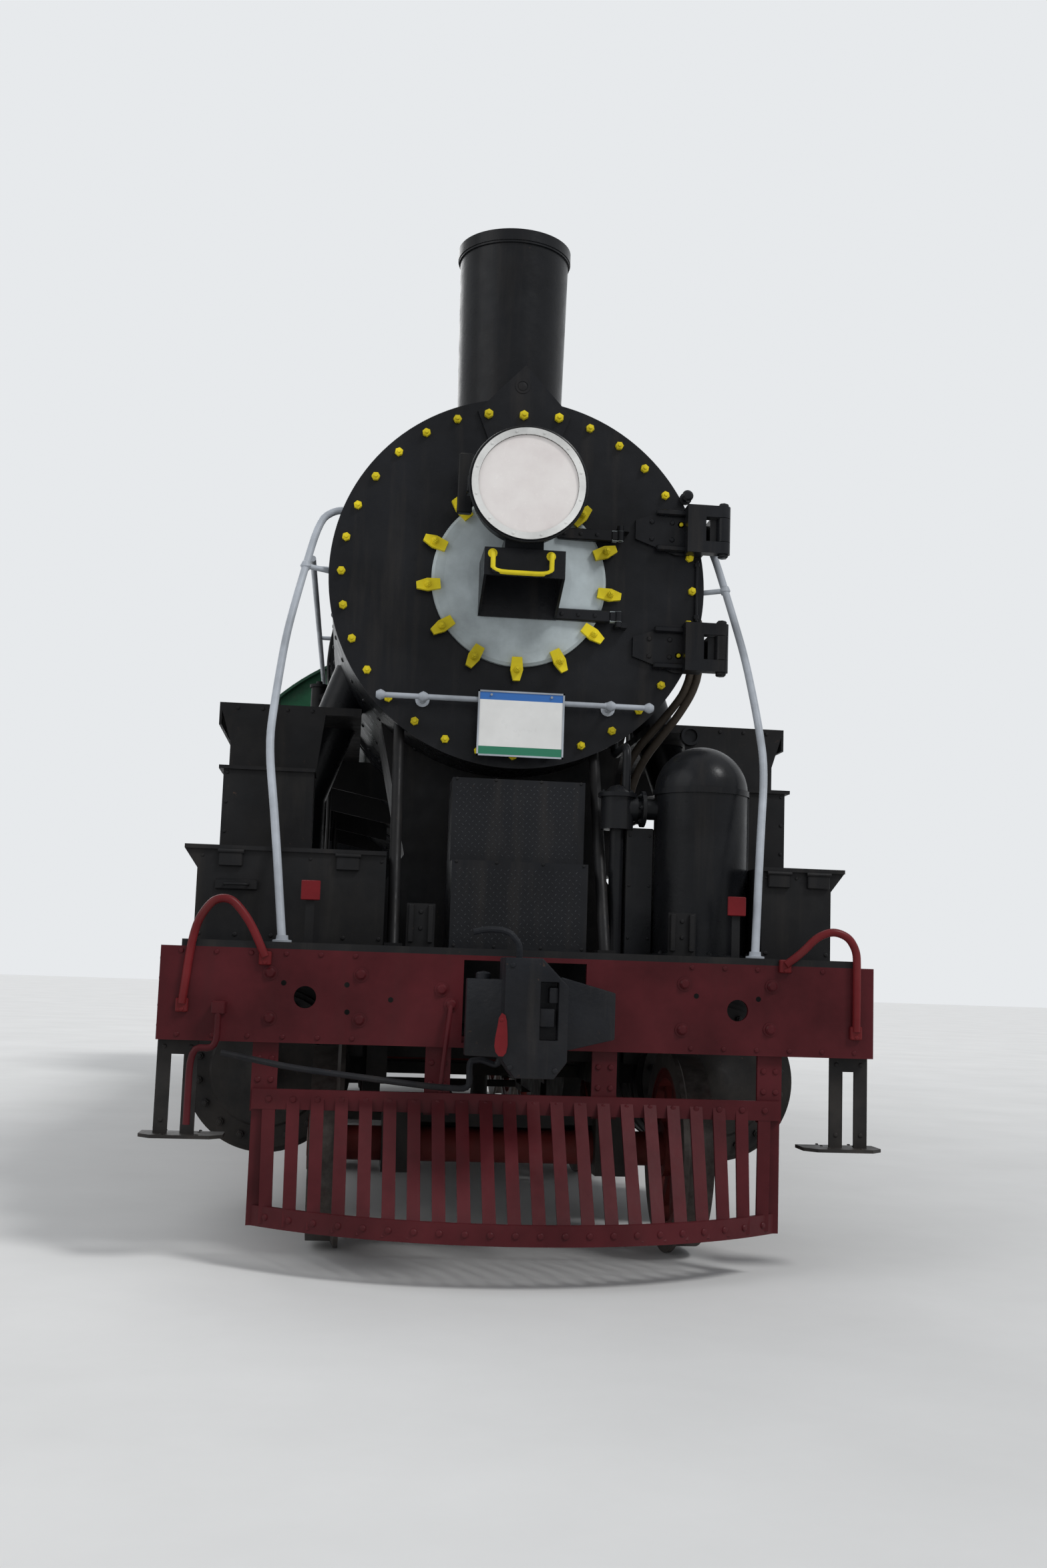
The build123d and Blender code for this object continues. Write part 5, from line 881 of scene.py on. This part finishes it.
HUB_RINGS = ((-.001, .102), (.003, .100), (.0035, .070), (.0015, .066), (.0015, .030), (.004, .026), (.004, 0))
WHEELSETS = (       # body, axle, radius, the hub's X and scale, and the radius and count of the rim's rivets
    *((f"driver_{n + 1}", station, DRIVER_R, .910, 1, .562, 30) for n, station in enumerate(DRIVERS)),
    ("pony_wheels", PONY_AXLE, PONY_R, .870, .62, .338, 20))


def wheel_details():
    """Hub plates and rim rivets on each driving wheelset, and on the small wheels."""
    for body, station, radius, hub_x, scale, rim_r, count in WHEELSETS:
        caps = Bits()
        for side in SIDES:
            caps.turned(at(side * hub_x, station, radius), (side, 0, 0), [(out, r * scale) for out, r in HUB_RINGS], 32)
            for i in range(count):
                caps.rivet(around(at(side * .852, station, radius), rim_r, 360 * (i + .5) / count, "yz"),
                           (side, 0, 0), .010)
        caps.piece(f"hub_caps_{body}", "wheel_red", body, MATERIALS["tyre_steel"])


# Firebox, domes and cab.

DOMES = (       # station, radius, the boiler's radius at its foot, height over it, the boiler's radius at the rivets
    (3.5, .43, BARREL_R, .330, BARREL_R), (5.2, .40, BARREL_R, .380, BARREL_R), (6.65, .43, FIREBOX_R, .300, .941))
WASHOUT_SEAT = [(-.002, .052), (.010, .052), (.014, .040), (.016, .040)]
DOME_LID = [(-.001, .135), (.020, .135), (.028, .120), (.032, .030), (.044, .026), (.060, .024), (.064, 0)]


def firebox_details():
    """Stay heads, washout plugs and bands on the firebox, the rounded domes, and their rivets and lids."""
    stays = Bits()
    for side in SIDES:
        for row, height in enumerate(steps(1.62, .21, 6)):
            share = (height - FIREBOX_FOOT) / (BOILER - FIREBOX_FOOT)
            x = FIREBOX_HALF + (FIREBOX_R - FIREBOX_HALF) * share
            stations = [s for s in steps(8.35 - (.11 if row % 2 else 0), .22, 9) if s < 9.25]
            stays.rivets(side * x, stations, height, .015, (side, 0, .08))
        for station in (8.00, 8.75):
            place, out = round_boiler(FIREBOX_R, station, side * 62)
            stays.turned(place, out, WASHOUT_SEAT, 22)
            stays.turned(place, out, [(.012, .022), (.034, .020), (.036, 0)], 4)
    stays.piece("firebox_stays", "boiler_black")
    bands = Bits()
    for station in (7.82, 8.50, 9.18):
        bands.band(at(0, station, BOILER), FORWARD, FIREBOX_R - .001, FIREBOX_R + .008, .06, 48, 0, 180)
    bands.piece("firebox_bands", "boiler_black")
    shells, domes = Bits(), Bits()
    for station, radius, seat, height, _ in DOMES:
        crown = radius * .45
        curve = [(math.sin(math.radians(a)) * crown - crown, math.cos(math.radians(a)) ** .7 * radius)
                 for a in range(0, 90, 10)]
        shells.turned(at(0, station, BOILER + seat + height), UPWARD, [(-height - .200, radius), *curve, (0, 0)], 64)
    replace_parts(shells.piece("dome_shells", "boiler_black"), "boiler_domes")
    for station, radius, _, _, boiler_r in DOMES:
        for degrees in steps(0, 15, 24):
            across, back, _ = around((0, 0, 0), 1, degrees, "xy")
            x = (radius + .021) * across
            if BARREL_R + .006 > math.sqrt(boiler_r ** 2 - x * x):
                domes.rivets(x, station + (radius + .021) * back, BOILER + BARREL_R + .010, .011,
                             (.84 * across, .84 * back, .54))
    for station, _, seat, height, _ in DOMES:
        domes.turned(at(0, station, BOILER + seat + height - .010), UPWARD, DOME_LID, 32)
    domes.piece("dome_rivets", "boiler_black")


def surround(end0, end1, low, high, width):
    """The four strips round an opening: each one's two ends along the wall and its two heights."""
    return ((end0 - width, end1 + width, low - width, low), (end0 - width, end1 + width, high, high + width),
            (end0 - width, end0, low, high), (end1, end1 + width, low, high))


def cab_details():
    """Rivets on the cab's walls and roof, and the beads round its windows and along its sides."""
    rivets = Bits()
    for side in SIDES:
        x, outward = side * CAB_HALF, (side, 0, 0)
        rivets.rivets(x, steps(9.33, .0975, 21), (1.52, 2.62), .008, outward)
        rivets.rivets(x, 9.345, steps(1.55, .115, 20), .008, outward)
        rivets.rivets(x, 11.305, steps(1.55, .115, 17), .008, outward)
        rivets.rivets([side * out for out in steps(1.12, .05, 9)], CAB_FRONT, (1.53, 1.78), .007)
    for i, station in itertools.product(range(31), (9.20, 10.15, 11.10, 11.88)):
        lean = math.radians(-38 + 76 * i / 30)
        x, up = ROOF_R * math.sin(lean), ROOF_R * math.cos(lean)
        if abs(x) >= .38 or not 10.2 < station < 11.02:
            rivets.rivets(x, station, ROOF_CENTRE + up, .008, (math.sin(lean), 0, math.cos(lean)))
    rivets.piece("cab_rivets", "cab_green")
    beads = Bits()
    for side in SIDES:
        wall, bead = side * CAB_HALF, side * (CAB_HALF + .008)
        for front, back in ((9.760, 10.420), (10.560, 11.160)):
            for strip in surround(front, back, 2.760, 3.420, .028):
                beads.box(wall, bead, *strip)
        for strip in ((9.33, 11.32, 2.565, 2.585), (9.33, 11.32, 1.485, 1.500), (11.312, 11.328, 1.500, 3.475)):
            beads.box(wall, bead, *strip)
        beads.box(side * (CAB_HALF - .002), side * (CAB_HALF + .030), 9.73, 11.19, 2.712, 2.732, .004)
        for x0, x1, low, high in surround(*sorted((side * 1.110, side * 1.430)), 2.960, 3.600, .022):
            beads.box(x0, x1, CAB_FRONT - .007, CAB_FRONT + .001, low, high)
    beads.piece("window_beads", "cab_green")


BACKHEAD_GAUGES = ((-.20, 3.52, .085), (.16, 3.56, .095), (.40, 3.42, .065))
BACKHEAD_WHEELS = ((-.62, 2.62, .075), (-.52, 3.34, .065), (.60, 2.70, .075), (.66, 3.16, .060), (-.30, 2.42, .055))
WHEEL_SPINDLE = [(0, .040), (.030, .040), (.034, .018), (.120, .014), (.122, 0)]
FIREHOLE_STATION, FIREHOLE_LOW, FIREHOLE_HIGH = 10.630, 2.060, 2.440


def backhead(height):
    """The station of the sloped backhead at a height above the rail."""
    return 10.610 - .270 * max(0, height - 2.0) / 2.153


def cab_fittings():
    """Blank gauges, handwheels, levers and pipes on the backhead, inside the cab."""
    steel, dials, wheels = Bits(), Bits(), Bits()
    for x, height, radius in BACKHEAD_GAUGES:
        station = backhead(height)
        steel.tube([(x, station - .02, height), (x, station + .060, height)], .014)
        steel.turned(at(x, station + .055, height), REARWARD, [(0, radius * .7), (.010, radius), (.040, radius),
                                                               (.040, radius * .9), (.034, radius * .88)], 36)
        dials.turned(at(x, station + .088, height), REARWARD, [(0, radius * .88), (.002, radius * .88)], 36)
    for x, height, radius in BACKHEAD_WHEELS:
        station = backhead(height)
        steel.turned(at(x, station - .010, height), REARWARD, WHEEL_SPINDLE, 16)
        wheels.ring(at(x, station + .110, height), REARWARD, radius, .008, 28)
        for degrees in steps(45, 90, 4):
            across, _, up = around((x, 0, height), radius, degrees, "xz")
            wheels.tube([(x, station + .110, height), (across, station + .110, up)], .006, 8)
    station = backhead(3.2)
    for x in (-.40, .44):
        steel.tube([(x, station - .03, 3.19), (x, station + .05, 3.19), (x, station + .05, 2.90),
                    (x, station + .03, 2.86)], .012, cut=.35)
    steel.tube([(.36, 10.570, 3.25), (.36, 10.640, 3.25), (.30, 10.660, 3.05)], .016, cut=.35)
    steel.piece("backhead_valves", "rod_steel")
    dials.piece("gauge_dials", "board_white", material=LAMP_WHITE)
    wheels.piece("hand_wheels", "hoop_red", material=MARKER_RED)
    door = Bits()
    front = FIREHOLE_STATION - .001
    for x in (-.17, .17):
        door.box(x - .020, x + .020, front, front + .015, FIREHOLE_LOW + .02, FIREHOLE_HIGH - .02, .004)
    for height in (FIREHOLE_LOW + .05, FIREHOLE_HIGH - .05):
        door.box(-.25, .25, front, front + .011, height - .020, height + .020, .004)
    handle = FIREHOLE_LOW + .19
    door.tube([(.06, FIREHOLE_STATION, handle), (.06, FIREHOLE_STATION + .05, handle),
               (.15, FIREHOLE_STATION + .05, handle), (.15, FIREHOLE_STATION, handle)], .010, cut=.35)
    door.piece("firehole_straps")


# Forms that the solids draw more plainly or leave out.

COUPLER = 1.045
COLUMN = ((-.133, .200), (.010, .200), (.113, .095), (.113, -.190), (.065, -.255), (-.085, -.255), (-.133, -.190))
RECESS = ((.005, .110), (.075, .110), (.075, -.110), (.005, -.110))
COLUMN_FACES = ((0, 1, 8, 7), (1, 2, 8), (2, 3, 9, 8), (3, 4, 9), (4, 5, 10, 9), (5, 6, 10), (6, 0, 7, 10))
GUARD = ((.090, .070), (.315, .120), (.315, .165), (.200, .250), (.090, .330))       # x, distance behind the face
ARM = ((-.120, .120), (-.263, .200), (-.263, .260), (-.120, .330))
LUGS_AND_SHANK = (      # X values, stations, distances over the coupler's middle
    (.040, .075, COUPLER_STATION + .012, COUPLER_STATION + .056, .030, .090),
    (.005, .062, COUPLER_STATION + .010, COUPLER_STATION + .056, -.060, .010),
    (-.100, .100, COUPLER_STATION + .200, -.100, -.120, .120),
    (-.075, .075, -.110, .600, -.090, .090), (-.230, .230, .020, .600, -.125, -.090))
HORN = ((-.073, 1.235), (-.074, 1.296), (-.110, 1.338), (-.146, 1.350), (-.201, 1.350), (-.255, 1.338))
ROD_STATION = -.075
COUPLER_ROD = ((-1.216, .834), (-.925, .780), (-.390, .722), (-.222, .714), (-.224, .826), (-.180, .834), (-.110, .810))
HAND_LEVER = ((-1.335, .550), (-1.335, .850), (-1.235, .850), (-1.235, 1.020))


def coupler_casting():
    """The coupler: a tall column with its recess, the guard, the side arm, the shank, the yoke and the top horn."""
    face = COUPLER_STATION
    iron = Bits()
    points = [at(x, station, COUPLER + up)
              for outline, station in ((COLUMN, face), (RECESS, face), (COLUMN, face + .230), (RECESS, face + .055))
              for x, up in outline]
    sides = [(i, (i + 1) % 7, 11 + (i + 1) % 7, 11 + i) for i in range(7)]
    walls = [(7 + i, 18 + i, 18 + (i + 1) % 4, 7 + (i + 1) % 4) for i in range(4)]
    iron.add(points, [*COLUMN_FACES, *sides, *walls, tuple(range(11, 18)), tuple(range(18, 22))])
    iron.slab([(x, face + behind) for x, behind in GUARD], lambda x: COUPLER - .158 + .2356 * (x - .090),
              lambda x: COUPLER + .132 - .2533 * (x - .090))
    iron.slab([(x, face + behind) for x, behind in ARM], lambda x: COUPLER - .185, lambda x: COUPLER + .115)
    for *plan, low, high in LUGS_AND_SHANK:
        iron.box(*plan, COUPLER + low, COUPLER + high)
    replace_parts(iron.piece("coupler_casting", "coupler_iron", bevel=.006), "coupler")
    rods = Bits()
    rods.tube([(x, face + .080, height) for x, height in HORN], .013, cut=.35)
    rods.tube([(x, ROD_STATION, height) for x, height in COUPLER_ROD] + [(-.080, -.120, .935)], .013, cut=.25)
    rods.piece("coupler_rods", "coupler_iron")
    lever = Bits()
    lever.tube([(x, ROD_STATION, height) for x, height in HAND_LEVER], .014, 14, .35)
    lever.box(-1.262, -1.208, ROD_STATION - .014, 0, .985, 1.035, .004)
    lever.tube([(-.303, .002, 1.061), (-.307, -.028, 1.020), (-.338, -.062, .700)], .010)
    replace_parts(lever.piece("hand_lever", "red_paint"), "uncoupling_lever")


def beam_hoops():
    """The two bent handrails on the beam's face, each with its own shape."""
    hoops = Bits()
    for route in HOOPS:
        hoops.tube([(x, -.017, height) for x, height in route], .017, 16, .45, 6)
    for x, height in HOOP_FEET:
        hoops.box(x - .025, x + .025, -.021, 0, height - .034, height + .022, .004)
    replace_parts(hoops.piece("beam_hoops", "hoop_red"), "hoop_handrails")


LAGGED_STATION = 1.100
LAGGED_PIPES = (        # the run along the smokebox, then the X and height of the drop in front
    (((.885, 1.960, 3.033), (.940, 1.900, 3.033), (.940, 1.300, 3.033)),
     ((.911, 2.711), (.872, 2.595), (.802, 2.498), (.731, 2.412), (.651, 2.316), (.592, 2.211), (.570, 2.068),
      (.560, 1.800), (.560, 1.281))),
    (((.885, 2.090, 3.073), (.990, 2.000, 3.073), (.990, 1.300, 3.073)),
     ((.950, 2.713), (.914, 2.597), (.844, 2.480), (.773, 2.384), (.693, 2.277), (.644, 2.183), (.610, 2.069),
      (.604, 1.800), (.604, 1.281))),
)
SIDE_RAIL = ((1.007, .150, 1.284), (1.070, .330, 1.800), (1.123, .470, 2.156), (1.108, .560, 2.400),
             (1.083, .700, 2.700), (1.040, .810, 2.950), (.965, .968, 3.330), (.890, .990, 3.390), (.815, .990, 3.390))
BRACKET_BALL = [(-.027, 0), (-.022, .016), (0, .027), (.022, .016), (.027, 0)]
SAND_RUNS = ((3.200, .936, 0), (6.350, .944, 2), (6.950, .980, 4))      # station, reach round the boiler, wheel fed
CLACK_STATION, CLACK = 3.150, BOILER - .400
CLACK_BODY = [(0, .048), (.150, .048), (.150, .058), (.168, .058), (.172, .020), (.190, .018)]


def pipework():
    """The lagged pipes, the side handrails, the tank's riser and casing and the ring on the right running board."""
    lagged = Bits()
    for run, drop in LAGGED_PIPES:
        lagged.tube([*run, *((x, LAGGED_STATION, height) for x, height in drop)], .020, 12, .4, 3)
    lagged.piece("lagged_pipes", material=LAGGING)
    rails = Bits()
    for side in SIDES:
        rails.tube([(side * x, station, height) for x, station, height in SIDE_RAIL], .018, 16, .42, 5)
        rails.turned(at(side * 1.007, .150, DECK), UPWARD, [(0, .040), (.010, .040), (.012, .026), (.030, .024)], 24)
        ball = (side * 1.016, .861, 3.072)
        rails.tube([ball, (side * .880, .905, 3.060)], .013, 12)
        rails.turned(at(*ball), (0, -.2, 1), BRACKET_BALL, 16)
    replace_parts(rails.piece("side_handrails", "rail_grey"), "pipe_handrails")
    front = Bits()
    front.tube([(.510, TANK_STATION, 1.955), (.510, TANK_STATION, 2.250), (.510, .975, 2.250), (.510, .975, 2.400)],
               .020, 12, .2)
    front.box(.512, .640, TANK_STATION - .020, TANK_STATION + .080, DECK, 1.865, .004)
    front.turned(at(.924, 1.180, 2.394), FORWARD, [(0, .050), (.030, .048), (.030, .034), (.010, .033)], 28)
    front.piece("tank_casing", "boiler_black")


def side_pipework():
    """The sand pipes and the feed pipes with their valves, on both sides."""
    pipes = Bits()
    for side in SIDES:
        for station, reach, wheel in SAND_RUNS:
            axle, x = DRIVERS[wheel], side * .884
            hung = axle - DRIVER_PITCH / 2
            route = []
            for degrees in range(12, 97, 7):
                across, _, height = around((0, 0, BOILER), reach, side * degrees)
                route.append((across, station, height))
            down = [(x, hung, BOILER - .493)]
            if axle == DRIVERS[-1]:
                down = [(x, station, BOILER - .493), (x, station, 1.400), (x, hung, 1.400)]
            route += down + [(x, hung, .500), (x, axle - .560, .250), (side * .800, axle - .420, .110)]
            pipes.tube(route, .013, 8, .25, 3)
            pipes.band(at(x, down[0][1], BOARD + .004), UPWARD, .014, .030, .010, 16)
        x, inner = side * .985, (side * .840, CLACK_STATION, CLACK + .170)
        pipes.tube([inner, (x, CLACK_STATION, CLACK + .170)], .052, 18)
        pipes.tube([inner, (side * .900, CLACK_STATION, CLACK + .170)], .082, 24)
        pipes.turned(at(x, CLACK_STATION, CLACK + .090), UPWARD, CLACK_BODY, 20)
        pipes.tube([(x, CLACK_STATION, CLACK + .150), (x, CLACK_STATION, CLACK), (x, 7.200, CLACK),
                    (side * 1.055, 7.500, CLACK), (side * 1.055, CAB_FRONT, CLACK)], .026, 12, .04)
    pipes.piece("side_pipes")


BRAKE_CYLINDER_STATION = 10.400


def brake_gear():
    """A hanger and shoe ahead of each driving wheel, the cross beams, their pull rod and the cylinder."""
    gear = Bits()
    for axle in DRIVERS:
        hung = axle - DRIVER_PITCH / 2
        for side in SIDES:
            gear.band(at(side * .8065, axle, DRIVER_R), (1, 0, 0), .668, .710, .083, 8, 188, 30)
            for x0, x1, ahead, behind, low, high in ((.790, .824, -.014, .056, DRIVER_R - .270, DRIVER_R - .215),
                                                     (.790, .824, -.014, .014, .320, 1.100),
                                                     (.620, .780, -.040, .040, 1.060, 1.140)):
                gear.box(side * x0, side * x1, hung + ahead, hung + behind, low, high, .004)
            gear.turned(at(side * .760, hung, 1.100), (side, 0, 0), [(0, .035), (.066, .035), (.070, .028)], 16)
            gear.nut(at(side * .824, hung + .020, DRIVER_R - .243), (side, 0, 0), .036, .012, .006)
        gear.box(-.824, .824, hung, hung + .070, .320, .370, .006)
    end = BRAKE_CYLINDER_STATION
    gear.tube([(0, FIRST_DRIVER - DRIVER_PITCH / 2 + .035, .345), (0, end, .345)], .022, 12)
    gear.box(-.025, .025, end - .035, end + .035, .320, .580, .004)
    gear.turned(at(0, end, .560), UPWARD, [(0, .150), (.012, .180), (.290, .180), (.305, .160)], 36)
    gear.box(-.520, .520, end - .200, end + .200, .860, .885)
    gear.piece("brake_gear")


BLAST_PIPE = [(0, .180), (.050, .150), (.060, .112), (.225, .110), (.235, .132), (.290, .132), (.290, .090),
              (.225, .088)]
RESERVOIR_X, RESERVOIR = 1.120, 2.090
RESERVOIR_DISH = [(-.001, .190), (.012, .180), (.036, .120), (.046, .050), (.048, 0)]


def boiler_forms():
    """The flue ends and blast pipe inside the smokebox, with a near-black disc of painted shade in each flue, and the
    dished ends of the air reservoirs.
    """
    flues, hole_shades = Bits(), Bits()
    for up, count in ((.420, 6), (.248, 7), (.076, 8)):
        for i in range(count):
            place = at((i - (count - 1) / 2) * .172, TUBE_PLATE, BOILER + up)
            flues.turned(place, FORWARD, [(-.001, .076), (.005, .074), (.005, .066), (.0008, .065)], 24)
            # Painted shade: a thin near-black disc just inside each flue end.
            hole_shades.turned(place, FORWARD, [(.0009, .064), (.0014, .064)], 24)
    flues.turned(at(0, STACK_STATION, BOILER - .875), UPWARD, BLAST_PIPE, 36)
    flues.piece("flue_ends", "boiler_black", material=MATERIALS["tyre_steel"])
    hole_shades.piece("flue_shade", material=HOLE_SHADE)
    ends = Bits()
    for side in SIDES:
        for station, axis in ((4.7, FORWARD), (6.9, REARWARD)):
            ends.turned(at(side * RESERVOIR_X, station, RESERVOIR), axis, RESERVOIR_DISH, 40)
        for station in (4.78, 6.82, 5.0, 6.6):
            ends.band(at(side * RESERVOIR_X, station, RESERVOIR), REARWARD, .188, .194, .040, 40)
    ends.piece("reservoir_ends")


for details in (beam_fasteners, pilot_rivets, tread_marks, deck_details, coupler_details, tank_details, plate_nuts,
                smokebox_details, door_details, cylinder_details, motion_details, wheel_details, firebox_details,
                cab_details, cab_fittings, coupler_casting, beam_hoops, pipework, side_pipework, brake_gear,
                boiler_forms):
    details()


# Floor, lamps, world and camera.

FLOOR_HALF = 90.0
SUNS = (        # name, direction towards the lamp, strength, and the angle that softens its shadow
    ("key_light", (0.62, -0.62, 0.95), 1.35, 14), ("fill_light", (-0.9, -0.5, 0.55), 0.50, 40),
    ("back_light", (-0.3, 0.9, 0.7), 0.65, 40))
SKY_COLOUR, SKY_STRENGTH = (0.92, 0.95, 1.0), 0.45
BACKDROP_COLOUR, BACKDROP_STRENGTH = (0.80, 0.82, 0.84), 1.0


def stage():
    """A plain pale floor and even, soft light from all round."""
    paint = Paint("pale_floor")
    tone = paint.mix(paint.clouds(0.8, 6), (0.70, 0.70, 0.69), (0.76, 0.76, 0.75))
    mesh = bpy.data.meshes.new("studio_floor")
    mesh.from_pydata([(x * FLOOR_HALF, y * FLOOR_HALF, 0) for x, y in ((-1, -1), (1, -1), (1, 1), (-1, 1))], [],
                     [(0, 1, 2, 3)])
    mesh.materials.append(paint.finished({"Base Color": tone, "Roughness": 0.9}))
    shown("studio_floor", mesh)
    for name, towards, strength, angle in SUNS:
        data = bpy.data.lights.new(name, "SUN")
        data.energy = strength
        data.angle = math.radians(angle)
        shown(name, data).rotation_euler = Vector(towards).to_track_quat("Z", "Y").to_euler()
    world = bpy.data.worlds.new("studio")
    bpy.context.scene.world = world
    world.use_nodes = True
    world.node_tree.nodes.clear()
    sky = Nodes(world.node_tree)
    rays = sky.nodes.new("ShaderNodeLightPath").outputs
    seen = rays["Is Camera Ray"]
    for kind in ("Is Glossy Ray", "Is Transmission Ray"):
        seen = sky.math("MAXIMUM", seen, rays[kind])
    light = sky.node("Background", {"Color": SKY_COLOUR, "Strength": SKY_STRENGTH}, "Background")
    backdrop = sky.node("Background", {"Color": BACKDROP_COLOUR, "Strength": BACKDROP_STRENGTH}, "Background")
    mixed = sky.node("MixShader", {"Fac": seen, 1: light, 2: backdrop}, "Shader")
    sky.links.new(mixed, sky.nodes.new("ShaderNodeOutputWorld").inputs["Surface"])
    bpy.context.scene.view_settings.view_transform = "Standard"


stage()
photo_camera()
